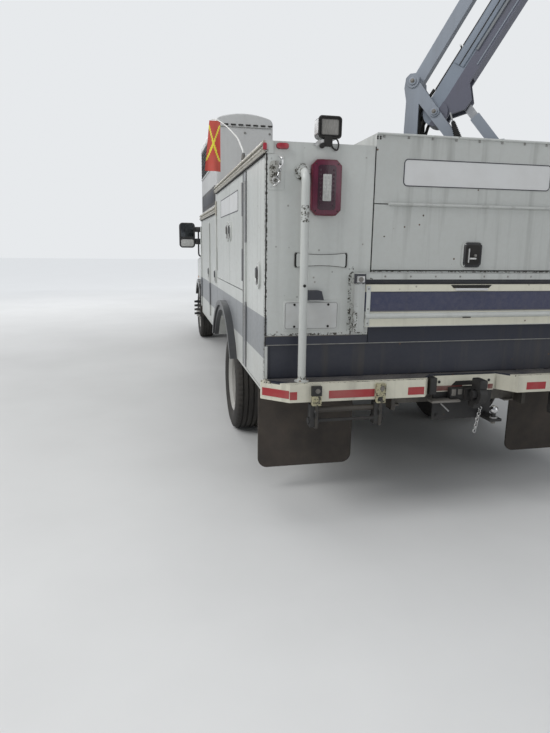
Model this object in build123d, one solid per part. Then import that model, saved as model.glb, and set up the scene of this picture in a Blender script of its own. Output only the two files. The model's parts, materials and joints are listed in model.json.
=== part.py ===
from build123d import *
import math
import os

# Bucket truck with a utility body and a grey articulated boom.
# Millimetres. X to the right, Y forward, Z up from the ground.
# While the pieces are made, Y is 0 at the rear face of the utility body and X is 0 on the centre line.
# At the end everything moves so that the origin is the bottom centre of the whole machine.

# Chassis
REAR_AXLE_Y = 1690
BODY_LENGTH = 4050
CAB_REAR = BODY_LENGTH + 100
FRONT_AXLE_Y = CAB_REAR + 2560
COWL_Y = CAB_REAR + 1930
NOSE_FRONT = COWL_Y + 1480
TYRE_RADIUS = 410
TYRE_WIDTH = 235
RIM_RADIUS = 255
DISC_THICKNESS = 14
HAND_HOLES = 8
HAND_HOLE_RADIUS = 24
HAND_HOLE_CIRCLE = 178
HUB_REACH = 40
SPINDLE_RADIUS = 40
RUNNING_GAP = 0.3
AXLE_Z = TYRE_RADIUS
REAR_OUTER_WHEEL_X = 1050
DUAL_SPACING = 272
FRONT_WHEEL_X = 925
KINGPIN_X = 760
RAIL_X = 430
RAIL_WIDTH = 76
RAIL_WALL = 10
RAIL_BOTTOM = 600
RAIL_TOP = 830
RAIL_REAR_Y = 60
RAIL_FRONT_Y = NOSE_FRONT - 140
CAB_MOUNT_YS = (CAB_REAR + 150, CAB_REAR + 1100, CAB_REAR + 1800)
CAB_MOUNT_RADIUS = 34
CROSSMEMBER_YS = (120, 1100, 2300, CAB_REAR - 750, CAB_REAR + 350, RAIL_FRONT_Y - 170)

# Utility body
HALF_WIDTH = 1200
BODY_BOTTOM = 725
TALL_TOP = 2060
TALL_LENGTH = 2340
LOW_TOP = 1890
MIDDLE_BOTTOM = 1245
PACK_DEPTH = 595
PACK_WALL = 28
RAIL_CAP = 62
CAP_PROUD = 18
CAP_BEAD = 11
CAP_END = 4
CAP_LEAF = 40
JAMB_DEPTH = 52
JAMB_WIDTH = 26
DOOR_THICKNESS = 38
DOOR_GAP = 6
DECK_TOP = 1098
DECK_THICKNESS = 38
ARCH_Y = 1670
ARCH_Z = 332
ARCH_RADIUS = 680
FLARE_WIDTH = 78
FLARE_PROUD = 55
LOWER_PANEL_TOP = 1000
LOWER_PANEL_BOTTOM = 808
LOWER_PANEL_RECESS = 16
APRON_THICKNESS = 8

# Compartment doors: name, rear edge, front edge, bottom, top, hinge edge (front or rear), latch height
DOORS = (
    ("rear_door", 30, 612, BODY_BOTTOM + 20, TALL_TOP - 70, "front", 1373),
    ("middle_rear_door", 742, 1432, MIDDLE_BOTTOM, TALL_TOP - 70, "rear", 1640),
    ("middle_front_door", 1438, TALL_LENGTH - 22, MIDDLE_BOTTOM, TALL_TOP - 70, "front", 1640),
    ("forward_rear_door", TALL_LENGTH + 22, TALL_LENGTH + 644, BODY_BOTTOM + 20, LOW_TOP - 70, "front",
     1257),
    ("forward_front_door", TALL_LENGTH + 660, BODY_LENGTH - 28, BODY_BOTTOM + 20, LOW_TOP - 70, "front",
     1257),
)
DOOR_BORDER = 62
LATCH_INSET = 70
HINGE_RADIUS = 8
HINGE_PIN_RADIUS = 4
HINGE_LEAF = 7
HINGE_REACH = HINGE_RADIUS + RUNNING_GAP

# Centre box, hatch and tailgate between the packs
CENTRE_HALF = 601
BOX_TOP = TALL_TOP + 65
BOX_BOTTOM = 1400
BOX_FRONT = 430
BOX_WALL = 28
HATCH_TOP = 1762
HATCH_THICKNESS = 30
HATCH_HALF = CENTRE_HALF - 1.5
HATCH_PROUD = 6
HATCH_SEAT = 4
SILL_BOTTOM = 1361
TAILGATE_TOP = 1333
TAILGATE_THICKNESS = 42
TAILGATE_HALF = 645
TAILGATE_FACE = -50
TRUNNION_RADIUS = 12
TRUNNION_Y = -38
TRUNNION_Z = DECK_TOP + 14
POST_WIDTH = 60
POST_DEPTH = 56

# Rear step bumper and hitch
STEP_TOP = 808
STEP_BOTTOM = 706
STEP_REACH = 140
STEP_HALF = 1220
STEP_REAR_HALF = 1085
RECESS_HALF = 295
RECESS_INNER_HALF = 215
STEP_WALL = 8
TOW_EYE_XS = (570, 939)
TOW_EYE_Y = -130
TOW_EYE_Z = 600
TOW_EYE_RADIUS = 14
HITCH_HALF = 190
HITCH_BOTTOM = 535
HITCH_TOP = 790
HOOK_X = 27
HOOK_Y = -165
HOOK_Z = 715
HOOK_RADIUS = 58
HOOK_BORE = 30
HOOK_HALF = 45
BALL_X = 146
BALL_Y = -150
BALL_Z = 612
BALL_RADIUS = 25
TOW_EYE_THICKNESS = 16

# Lamps and rails on the rear face
LAMP_X = 878
LAMP_Z = TALL_TOP - 224
LAMP_WIDTH = 165
LAMP_HEIGHT = 284
LAMP_PROUD = 26
LAMP_CORNER = 42
GRAB_X = 1005
GRAB_RADIUS = 22
GRAB_TOP = TALL_TOP - 147
GRAB_OFFSET = 78
WHIP_Y = 1130
FLAP_X = 870
FLAP_WIDTH = 612
FLAP_BOTTOM = 165
FLAP_Y = 300
FLAP_THICKNESS = 12

# Equipment housing on the low section of the left pack
HOUSING_REAR = TALL_LENGTH + 60
HOUSING_FRONT = BODY_LENGTH - 100
HOUSING_INNER_X = 670
HOUSING_CROWN = 2705
HOUSING_SHOULDER = 48
HOUSING_CORNER = 55
HOUSING_EDGE = 12

# Cab
CAB_HALF = 1000
CAB_BOTTOM = 700
CAB_FLOOR = 890
FLOOR_THICKNESS = 40
ROCKER_INNER = 850
CAB_DOOR_GAP = 8
CAB_BELT = 1430
CAB_ROOF = 2040
CAB_WALL = 40
WINDSCREEN_TOP_Y = CAB_REAR + 1270
ROOF_HALF = 790
DOOR_REAR_Y = CAB_REAR + 825
DOOR_FRONT_Y = CAB_REAR + 1835
CAB_ROUND = 45
CAB_HINGE_SPANS = ((860, 950), (1260, 1350))
MIRROR_Y = CAB_REAR + 1750
MIRROR_WIDTH = 235
MIRROR_REACH = 385
MIRROR_POST = 95
MIRROR_TUBE_RADIUS = 12
NOSE_ROUND = 34
HOOD_HINGE_X = 620
HOOD_HINGE_Y = COWL_Y + 20
HOOD_HINGE_Z = CAB_BELT - 20
HOOD_KNUCKLE_HALF = 20
HOOD_LUG = 12
COWL_PLATE = 6
NOSE_HALF = 1010
HOOD_FRONT_Z = 1290
NOSE_WALL = 26
FRONT_ARCH_RADIUS = 500
FRONT_BUMPER_FRONT = NOSE_FRONT + 120

# Boom: E runs outward along the boom from the slew axis
SLEW_Y = 800
SLEW_ANGLE = -38
PEDESTAL_RADIUS = 255
PEDESTAL_TOP = 1950
RING_RADIUS = 300
RING_THICKNESS = 62
HEAD_PLATE = 20
HEAD_HALF = 92
LOWER_PIN = (130, 2400)
LINK_PIN = (-20, 2598)
LIFT_BASE_PIN = (533, 2170)
# Side outline of the head plates: an upright leg, a slanting leg and an arm that clears the box's top
HEAD_OUTLINE = ((-62, 2300), (-58, 2480), (-74, 2560), (-66, 2622), (-40, 2646), (0, 2646), (22, 2622),
                (24, 2590),
                (286, 2240), (330, 2206), (572, 2206), (590, 2188), (590, 2134), (330, 2134))
HEAD_WINDOW = ((26, 2070), (26, 2460), (190, 2262), (236, 2200), (236, 2070))
LOWER_ANGLE = 58
LOWER_LENGTH = 3900
LOWER_HEIGHT = 160
LOWER_BOOM_WIDTH = 130
LINK_HEIGHT = 76
LINK_WIDTH = 70
LIFT_EYE_ALONG = 140
LIFT_EYE_BELOW = 112
UPPER_PIN_OFFSET = (-97, 443)
UPPER_ANGLE = 175
UPPER_LENGTH = 4200
UPPER_HEIGHT = 150
UPPER_WIDTH = 120
UPPER_EYE_ALONG = 290
UPPER_EYE_BELOW = 105
HORN_PIN_OFFSET = (-747, 43)
PIN_RADIUS = 20
BASE_EYE_RADIUS = 34
ROD_EYE_RADIUS = 36
EYE_HALF = 38
LUG_SLOT_HALF = 41
BORE_START = 52
BORE_CLEARANCE = 3
MOUTH_CLEARANCE = 5
LIFT_BARREL_RADIUS = 32
LIFT_ROD_RADIUS = 25
LIFT_RETRACT = 75
UPPER_BARREL_RADIUS = 38
UPPER_ROD_RADIUS = 19
UPPER_RETRACT = 0
BUCKET_WIDTH = 620
BUCKET_DEPTH = 1070
BUCKET_WALL = 12
BUCKET_GAP = 200

nodes = {}


def block(x0, x1, y0, y1, z0, z1):
    """A box between two corners."""
    return Pos((x0 + x1) / 2, (y0 + y1) / 2, (z0 + z1) / 2) * Box(x1 - x0, y1 - y0, z1 - z0)


def prism_x(points, x0, x1):
    """A side outline in Y and Z, drawn out along X."""
    outline = Plane.YZ.offset(x0) * Polyline(*points, close=True)
    return extrude(make_face(outline), amount=x1 - x0, dir=(1, 0, 0))


def prism_y(points, y0, y1):
    """A front outline in X and Z, drawn out along Y."""
    outline = Plane.XZ.offset(-y0) * Polyline(*points, close=True)
    return extrude(make_face(outline), amount=y1 - y0, dir=(0, 1, 0))


def prism_z(points, z0, z1):
    """A plan outline in X and Y, drawn up along Z."""
    outline = Plane.XY.offset(z0) * Polyline(*points, close=True)
    return extrude(make_face(outline), amount=z1 - z0, dir=(0, 0, 1))


def rod_x(radius, x0, x1, y, z):
    """A round bar along X."""
    return Pos((x0 + x1) / 2, y, z) * Rot(0, 90, 0) * Cylinder(radius, x1 - x0)


def rod_y(radius, y0, y1, x, z):
    """A round bar along Y."""
    return Pos(x, (y0 + y1) / 2, z) * Rot(90, 0, 0) * Cylinder(radius, y1 - y0)


def rod_z(radius, z0, z1, x, y):
    """A round bar along Z."""
    return Pos(x, y, (z0 + z1) / 2) * Cylinder(radius, z1 - z0)


def turned_x(profile, y, z):
    """A body of revolution about an axis along X; the profile lists x and radius."""
    outline = Plane.XY * Polyline(*profile, close=True)
    return Pos(0, y, z) * revolve(make_face(outline), Axis.X)


def pipe(points, radius, bend):
    """A bent tube through points."""
    path = FilletPolyline(*points, radius=bend)
    return sweep(path.location_at(0) * Pos(0, 0, 0) * Circle(radius), path)


def put(name, *solids):
    """Keeps solids under a node's name."""
    nodes[name] = list(nodes.get(name, [])) + list(solids)


def put_pair(name, left):
    """Keeps a left-hand solid and its mirror image as two nodes."""
    put(name + "_left", left)
    put(name + "_right", mirror(left, Plane.YZ))


def piano_hinge(low, high, body_overlap=1):
    """A piano hinge along Z at the origin: a fixed half with its pin on the +Y side, and a moving half.

    The faces that it joins lie in the plane X = HINGE_REACH.
    """
    third = (high - low) / 3
    leaf_end = HINGE_REACH + body_overlap
    fixed = rod_z(HINGE_PIN_RADIUS, low, high, 0, 0)
    for z0, z1 in ((low, low + third), (high - third, high)):
        fixed += rod_z(HINGE_RADIUS, z0, z1, 0, 0) + block(0, leaf_end, 0, HINGE_LEAF, z0, z1)
    z0, z1 = low + third + RUNNING_GAP, high - third - RUNNING_GAP
    moving = rod_z(HINGE_RADIUS, z0, z1, 0, 0) + block(0, leaf_end, -HINGE_LEAF, 0, z0, z1)
    moving -= rod_z(HINGE_PIN_RADIUS + RUNNING_GAP, z0 - 1, z1 + 1, 0, 0)
    return fixed, moving


def make_frame():
    """Ladder frame: two channels, crossmembers and body sills."""
    sides = []
    for side in (-1, 1):
        web = side * RAIL_X
        inner = side * (RAIL_X - RAIL_WIDTH)
        outline = (
            (web, RAIL_BOTTOM), (inner, RAIL_BOTTOM), (inner, RAIL_BOTTOM + RAIL_WALL),
            (web - side * RAIL_WALL, RAIL_BOTTOM + RAIL_WALL), (web - side * RAIL_WALL,
                                                                RAIL_TOP - RAIL_WALL),
            (inner, RAIL_TOP - RAIL_WALL), (inner, RAIL_TOP), (web, RAIL_TOP),
        )
        sides.append(prism_y(outline, RAIL_REAR_Y, RAIL_FRONT_Y))
    frame = sides[0] + sides[1]
    for y in CROSSMEMBER_YS:
        frame += block(-RAIL_X + RAIL_WALL / 2, RAIL_X - RAIL_WALL / 2, y - 35, y + 35,
                       RAIL_BOTTOM + RAIL_WALL, RAIL_BOTTOM + 95)
    for side in (-1, 1):
        for y in CAB_MOUNT_YS:
            frame += rod_z(CAB_MOUNT_RADIUS, RAIL_TOP - 1, CAB_FLOOR - FLOOR_THICKNESS - RUNNING_GAP,
                           side * (RAIL_X - RAIL_WIDTH / 2), y)
    put("chassis_frame", frame)


def make_axles():
    """Rear axle, front beam, knuckles, springs, drive line, tank and engine."""
    hub_end = REAR_OUTER_WHEEL_X - DUAL_SPACING - HUB_REACH
    rear = rod_x(62, -hub_end + 1, hub_end - 1, REAR_AXLE_Y, AXLE_Z)
    rear += rod_x(SPINDLE_RADIUS, -hub_end - 200, hub_end + 200, REAR_AXLE_Y, AXLE_Z)
    rear += Pos(0, REAR_AXLE_Y, AXLE_Z) * Sphere(175)
    rear += rod_y(60, REAR_AXLE_Y + 120, REAR_AXLE_Y + 250, 0, AXLE_Z + 20)
    put("rear_axle", rear)

    end = KINGPIN_X - 40
    beam = prism_y(((-end, AXLE_Z + 45), (-end, AXLE_Z - 45), (-540, AXLE_Z - 70), (-440, AXLE_Z - 120),
                    (440, AXLE_Z - 120), (540, AXLE_Z - 70), (end, AXLE_Z - 45), (end, AXLE_Z + 45),
                    (540, AXLE_Z + 25), (440, AXLE_Z - 30), (-440, AXLE_Z - 30), (-540, AXLE_Z + 25)),
                   FRONT_AXLE_Y - 45, FRONT_AXLE_Y + 45)
    for side in (-1, 1):
        beam += rod_z(48, AXLE_Z - 45, AXLE_Z + 45, side * KINGPIN_X, FRONT_AXLE_Y)
        beam -= rod_z(20, AXLE_Z - 60, AXLE_Z + 60, side * KINGPIN_X, FRONT_AXLE_Y)
    put("front_axle_beam", beam)

    knuckle = rod_z(19.7, AXLE_Z - 78, AXLE_Z + 78, -KINGPIN_X, FRONT_AXLE_Y)
    for z0, z1 in ((AXLE_Z - 85, AXLE_Z - 46), (AXLE_Z + 46, AXLE_Z + 85)):
        knuckle += rod_z(40, z0, z1, -KINGPIN_X, FRONT_AXLE_Y)
        knuckle += block(-KINGPIN_X - 95, -KINGPIN_X, FRONT_AXLE_Y - 36, FRONT_AXLE_Y + 36, z0, z1)
    knuckle += block(-KINGPIN_X - 95, -KINGPIN_X - 58, FRONT_AXLE_Y - 60, FRONT_AXLE_Y + 60,
                     AXLE_Z - 85, AXLE_Z + 85)
    knuckle += rod_x(34.7, -KINGPIN_X - 200, -KINGPIN_X - 94, FRONT_AXLE_Y, AXLE_Z)
    put_pair("steering_knuckle", knuckle)

    for side in (-1, 1):
        x = side * (RAIL_X - 45)
        for y, half, seat in ((REAR_AXLE_Y, 660, AXLE_Z + 62.3), (FRONT_AXLE_Y, 620, AXLE_Z - 29.7)):
            leaf_top = RAIL_BOTTOM - 20
            pack = prism_x(((y - half, leaf_top - 60), (y - 90, seat), (y + 90, seat),
                            (y + half, leaf_top - 60),
                            (y + half, leaf_top - 36), (y + 90, seat + 62), (y - 90, seat + 62),
                            (y - half, leaf_top - 36)), x - 38, x + 38)
            for end in (-1, 1):
                pack += rod_x(34, x - 40, x + 40, y + end * half, leaf_top - 48)
                pack += block(x - 20, x + 20, y + end * half - 30, y + end * half + 30,
                              leaf_top - 48, RAIL_BOTTOM)
            put("leaf_springs", pack)

    put("rear_axle", rod_y(45, REAR_AXLE_Y + 250.3, CAB_REAR + 1039.7, 0, AXLE_Z + 20))
    put("engine_block", block(-280, 280, CAB_REAR + 1960, CAB_REAR + 2800, 520, 1120)
        + block(-170, 170, CAB_REAR + 1040, CAB_REAR + 1960, 380, 790))

    tank = block(-790, -RAIL_X - 0.3, CAB_REAR + 200, CAB_REAR + 1100, 470, 800)
    put("tank_and_exhaust", fillet(tank.edges().filter_by(Axis.Y), 60))
    muffler = rod_y(120, CAB_REAR + 150, CAB_REAR + 1050, RAIL_X + 160, 620)
    muffler += block(RAIL_X + 0.3, RAIL_X + 160, CAB_REAR + 550, CAB_REAR + 590, 690, 735)
    tail = pipe(((RAIL_X + 160, CAB_REAR + 160, 620), (RAIL_X + 160, CAB_REAR - 850, 620),
                 (RAIL_X + 330, CAB_REAR - 1250, 560)), 42, 90)
    put("tank_and_exhaust", muffler + tail)


def tyre(x_centre):
    """A tyre about an axis along X."""
    half = TYRE_WIDTH / 2
    profile = (
        (-half + 36, RIM_RADIUS - 6), (-half + 6, RIM_RADIUS + 40), (-half, RIM_RADIUS + 85),
        (-half + 28, TYRE_RADIUS), (half - 28, TYRE_RADIUS),
        (half, RIM_RADIUS + 85), (half - 6, RIM_RADIUS + 40), (half - 36, RIM_RADIUS - 6),
    )
    return [(x + x_centre, r) for x, r in profile]


def rim(x_centre, rooted, dished):
    """A pressed steel wheel as one turned profile: barrel, short cone and flat disc."""
    half = TYRE_WIDTH / 2 - 22
    inside = RIM_RADIUS - 20
    disc_edge = inside - 18
    return (
        (x_centre - half, RIM_RADIUS + 12), (x_centre - half + 11, RIM_RADIUS - 6.5),
        (x_centre + half - 11, RIM_RADIUS - 6.5), (x_centre + half, RIM_RADIUS + 12),
        (x_centre + half, RIM_RADIUS - 4), (x_centre + half - 26, inside), (rooted + DISC_THICKNESS,
                                                                            inside),
        (dished + DISC_THICKNESS, disc_edge), (dished + DISC_THICKNESS, 0), (dished, 0), (dished,
                                                                                          disc_edge),
        (rooted, inside), (x_centre - half + 26, inside), (x_centre - half, RIM_RADIUS - 4),
    )


def hand_hole_places(axle_y):
    """Centres of the hand holes round a wheel's disc."""
    places = []
    for step in range(HAND_HOLES):
        angle = 2 * math.pi * (step + 0.5) / HAND_HOLES
        places.append((axle_y + HAND_HOLE_CIRCLE * math.cos(angle),
                       AXLE_Z + HAND_HOLE_CIRCLE * math.sin(angle)))
    return places


def make_wheels():
    """Front single wheels and rear twin wheels."""
    front_rim = turned_x(rim(-FRONT_WHEEL_X, -FRONT_WHEEL_X - 30, -FRONT_WHEEL_X - 62), FRONT_AXLE_Y,
                         AXLE_Z)
    front_rim += rod_x(85, -FRONT_WHEEL_X - 125, -FRONT_WHEEL_X + 62, FRONT_AXLE_Y, AXLE_Z)
    front_rim -= rod_x(35, -FRONT_WHEEL_X - 95, -FRONT_WHEEL_X + 80, FRONT_AXLE_Y, AXLE_Z)
    for y, z in hand_hole_places(FRONT_AXLE_Y):
        front_rim -= rod_x(HAND_HOLE_RADIUS, -FRONT_WHEEL_X - 100, -FRONT_WHEEL_X + 10, y, z)
    put_pair("front_rim", front_rim)
    put_pair("front_tyre", turned_x(tyre(-FRONT_WHEEL_X), FRONT_AXLE_Y, AXLE_Z))

    outer_x = -REAR_OUTER_WHEEL_X
    inner_x = outer_x + DUAL_SPACING
    mating = (outer_x + inner_x) / 2
    outer_rim = turned_x(rim(outer_x, outer_x + 60, mating - 14), REAR_AXLE_Y, AXLE_Z)
    inner_rim = turned_x(rim(inner_x, inner_x - 74, mating), REAR_AXLE_Y, AXLE_Z)
    hub = rod_x(90, outer_x - 10, inner_x + HUB_REACH, REAR_AXLE_Y, AXLE_Z)
    rear_rim = outer_rim + inner_rim + hub
    rear_rim -= rod_x(SPINDLE_RADIUS + RUNNING_GAP, inner_x + HUB_REACH - 201, inner_x + HUB_REACH + 1,
                      REAR_AXLE_Y, AXLE_Z)
    for y, z in hand_hole_places(REAR_AXLE_Y):
        rear_rim -= rod_x(HAND_HOLE_RADIUS, mating - 40, mating + 40, y, z)
    put_pair("rear_rim", rear_rim)
    for side, label in ((1, "left"), (-1, "right")):
        for x in (outer_x, inner_x):
            put("rear_tyre_" + label, turned_x(tyre(side * x), REAR_AXLE_Y, AXLE_Z))


def pack_outline():
    """Side outline of a pack: a tall section at the rear and a low one in front."""
    return ((0, BODY_BOTTOM), (BODY_LENGTH, BODY_BOTTOM), (BODY_LENGTH, LOW_TOP),
            (TALL_LENGTH, LOW_TOP), (TALL_LENGTH, TALL_TOP), (0, TALL_TOP))


def door_hinge_place(edge, y0, y1, half):
    """Moves one half of a hinge to a left-hand door's front or rear edge."""
    x = -HALF_WIDTH - HINGE_REACH
    if edge == "front":
        return Pos(x, y1 + DOOR_GAP / 2, 0) * half
    return Pos(x, y0 - DOOR_GAP / 2, 0) * mirror(half, Plane.XZ)


def make_packs():
    """Side packs with a pocket behind each door, and their doors."""
    pack = prism_x(pack_outline(), -HALF_WIDTH, -HALF_WIDTH + PACK_DEPTH)
    for name, y0, y1, z0, z1, hinge, latch in DOORS:
        pack -= block(-HALF_WIDTH - 1, -HALF_WIDTH + JAMB_DEPTH, y0 - DOOR_GAP, y1 + DOOR_GAP,
                      z0 - DOOR_GAP, z1 + DOOR_GAP)
        pack -= block(-HALF_WIDTH + JAMB_DEPTH - 1, -HALF_WIDTH + PACK_DEPTH - PACK_WALL, y0 + JAMB_WIDTH,
                      y1 - JAMB_WIDTH, z0 + JAMB_WIDTH, z1 - JAMB_WIDTH)
    arch = rod_x(ARCH_RADIUS, -HALF_WIDTH - 100, -HALF_WIDTH + PACK_DEPTH + 1, ARCH_Y, ARCH_Z)
    flare = rod_x(ARCH_RADIUS + FLARE_WIDTH, -HALF_WIDTH - FLARE_PROUD, -HALF_WIDTH, ARCH_Y, ARCH_Z)
    flare -= rod_x(ARCH_RADIUS + FLARE_WIDTH / 2, -HALF_WIDTH - FLARE_PROUD - 1,
                   -HALF_WIDTH - FLARE_PROUD + 16,
                   ARCH_Y, ARCH_Z)
    flare -= block(-HALF_WIDTH - 90, -HALF_WIDTH + 1, ARCH_Y - 900, ARCH_Y + 900, ARCH_Z - 900, BODY_BOTTOM)
    pack = pack + flare - arch
    hinge_halves = {}
    # Extruded caps along the tops of the outer faces, with two rounded beads
    inner_x = -HALF_WIDTH + PACK_DEPTH
    for y0, y1, top in ((-CAP_END, TALL_LENGTH, TALL_TOP), (TALL_LENGTH, BODY_LENGTH + CAP_END, LOW_TOP)):
        pack += block(-HALF_WIDTH - CAP_PROUD + CAP_BEAD / 2, -HALF_WIDTH + CAP_LEAF, y0, y1,
                      top - RAIL_CAP, top)
        for bead_z in (top - CAP_BEAD, top - RAIL_CAP + CAP_BEAD):
            pack += rod_y(CAP_BEAD, y0, y1, -HALF_WIDTH - CAP_PROUD + CAP_BEAD, bead_z)
    pack -= block(-HALF_WIDTH + 14, inner_x + 1, -1, LOWER_PANEL_RECESS, LOWER_PANEL_BOTTOM,
                  LOWER_PANEL_TOP)
    for name, y0, y1, z0, z1, edge, latch in DOORS:
        fixed, moving = piano_hinge(z0 + DOOR_BORDER, z1 - DOOR_BORDER)
        fixed, moving = door_hinge_place(edge, y0, y1, fixed), door_hinge_place(edge, y0, y1, moving)
        pack += fixed
        hinge_halves[name] = moving
    put_pair("side_pack", pack)
    nodes["side_pack_left"][0] += rod_z(14, TALL_TOP - 1, TALL_TOP + 60, -HALF_WIDTH + 60, WHIP_Y)

    for name, y0, y1, z0, z1, hinge, latch in DOORS:
        door = block(-HALF_WIDTH, -HALF_WIDTH + DOOR_THICKNESS, y0, y1, z0, z1)
        door -= block(-HALF_WIDTH + 12, -HALF_WIDTH + DOOR_THICKNESS + 1, y0 + DOOR_BORDER,
                      y1 - DOOR_BORDER,
                      z0 + DOOR_BORDER, z1 - DOOR_BORDER)
        latch_y = y0 + LATCH_INSET if hinge == "front" else y1 - LATCH_INSET
        latch_y = y0 + 128 if name == "rear_door" else latch_y
        handle = Pos(-HALF_WIDTH, latch_y, latch) * Rot(0, 90, 0) * extrude(Ellipse(75, 48), amount=11,
                                                                            both=True)
        door += handle + hinge_halves[name]
        put_pair(name, door)


def make_centre():
    """Deck, raised centre box with a hatch, posts and tailgate."""
    deck = block(-CENTRE_HALF, CENTRE_HALF, 0, BODY_LENGTH, DECK_TOP - DECK_THICKNESS, DECK_TOP)
    inner = LOWER_PANEL_RECESS + APRON_THICKNESS
    deck += block(-CENTRE_HALF, CENTRE_HALF, 0, inner, LOWER_PANEL_TOP, DECK_TOP - DECK_THICKNESS)
    deck += block(-CENTRE_HALF, CENTRE_HALF, LOWER_PANEL_RECESS, inner, STEP_TOP + RUNNING_GAP,
                  LOWER_PANEL_TOP)
    for side in (-1, 1):
        x = side * (RAIL_X - RAIL_WIDTH / 2)
        deck += block(x - 38, x + 38, TAILGATE_THICKNESS + 8, BODY_LENGTH, RAIL_TOP,
                      DECK_TOP - DECK_THICKNESS)
    put("deck", deck)

    box = block(-CENTRE_HALF, CENTRE_HALF, 0, BOX_FRONT, SILL_BOTTOM, BOX_TOP)
    box -= block(-CENTRE_HALF + BOX_WALL, CENTRE_HALF - BOX_WALL, BOX_WALL, BOX_FRONT - BOX_WALL,
                 BOX_BOTTOM, BOX_TOP - BOX_WALL)
    box -= block(-CENTRE_HALF + BOX_WALL, CENTRE_HALF - BOX_WALL, -1, BOX_WALL + 1,
                 BOX_BOTTOM + DOOR_GAP, HATCH_TOP - JAMB_WIDTH)
    seat = HATCH_THICKNESS - HATCH_PROUD + HATCH_SEAT
    box -= block(-CENTRE_HALF - 1, CENTRE_HALF + 1, -1, seat, BOX_BOTTOM + DOOR_GAP, HATCH_TOP + DOOR_GAP)
    for side in (-1, 1):
        leg = side * (CENTRE_HALF - 15)
        box += block(leg - 15, leg + 15, BOX_FRONT - 60, BOX_FRONT, DECK_TOP, SILL_BOTTOM)
        edge = side * (TAILGATE_HALF + DOOR_GAP)
        far = edge + side * POST_WIDTH
        box += block(min(edge, far), max(edge, far), -POST_DEPTH, -0.3, DECK_TOP - 24, SILL_BOTTOM + 34)
        box -= rod_x(TRUNNION_RADIUS + RUNNING_GAP, min(edge, far) - 1, max(edge, far) + 1, TRUNNION_Y,
                     TRUNNION_Z)
    box += block(-TAILGATE_HALF - DOOR_GAP, TAILGATE_HALF + DOOR_GAP, -40, -0.3, SILL_BOTTOM,
                 SILL_BOTTOM + 34)
    box += block(-CENTRE_HALF, CENTRE_HALF, -0.3, 1, SILL_BOTTOM, SILL_BOTTOM + 34)
    fixed, moving = piano_hinge(-CENTRE_HALF + 80, CENTRE_HALF - 80, 7)
    place = Plane((0, -DOOR_GAP - HINGE_REACH, HATCH_TOP + DOOR_GAP / 2), x_dir=(0, 1, 0),
                  z_dir=(1, 0, 0)).location
    put("centre_box", box + place * fixed)

    hatch = block(-HATCH_HALF, HATCH_HALF, -HATCH_PROUD, HATCH_THICKNESS - HATCH_PROUD,
                  BOX_BOTTOM + 2 * DOOR_GAP, HATCH_TOP)
    hatch += Pos(5, -6, BOX_BOTTOM + 98) * Rot(90, 0, 0) * extrude(RectangleRounded(126, 138, 22),
                                                                   amount=9, both=True)
    put("rear_hatch", hatch + place * moving)

    back = TAILGATE_FACE + TAILGATE_THICKNESS
    gate = block(-TAILGATE_HALF, TAILGATE_HALF, TAILGATE_FACE, back, DECK_TOP, TAILGATE_TOP)
    gate -= block(-TAILGATE_HALF + 40, TAILGATE_HALF - 40, TAILGATE_FACE + 16, back + 1, DECK_TOP + 40,
                  TAILGATE_TOP - 40)
    trunnion = TAILGATE_HALF + DOOR_GAP + POST_WIDTH - 10
    gate += rod_x(TRUNNION_RADIUS, -trunnion, -TAILGATE_HALF + 1, TRUNNION_Y, TRUNNION_Z)
    gate += rod_x(TRUNNION_RADIUS, TAILGATE_HALF - 1, trunnion, TRUNNION_Y, TRUNNION_Z)
    put("tailgate", gate)


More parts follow.
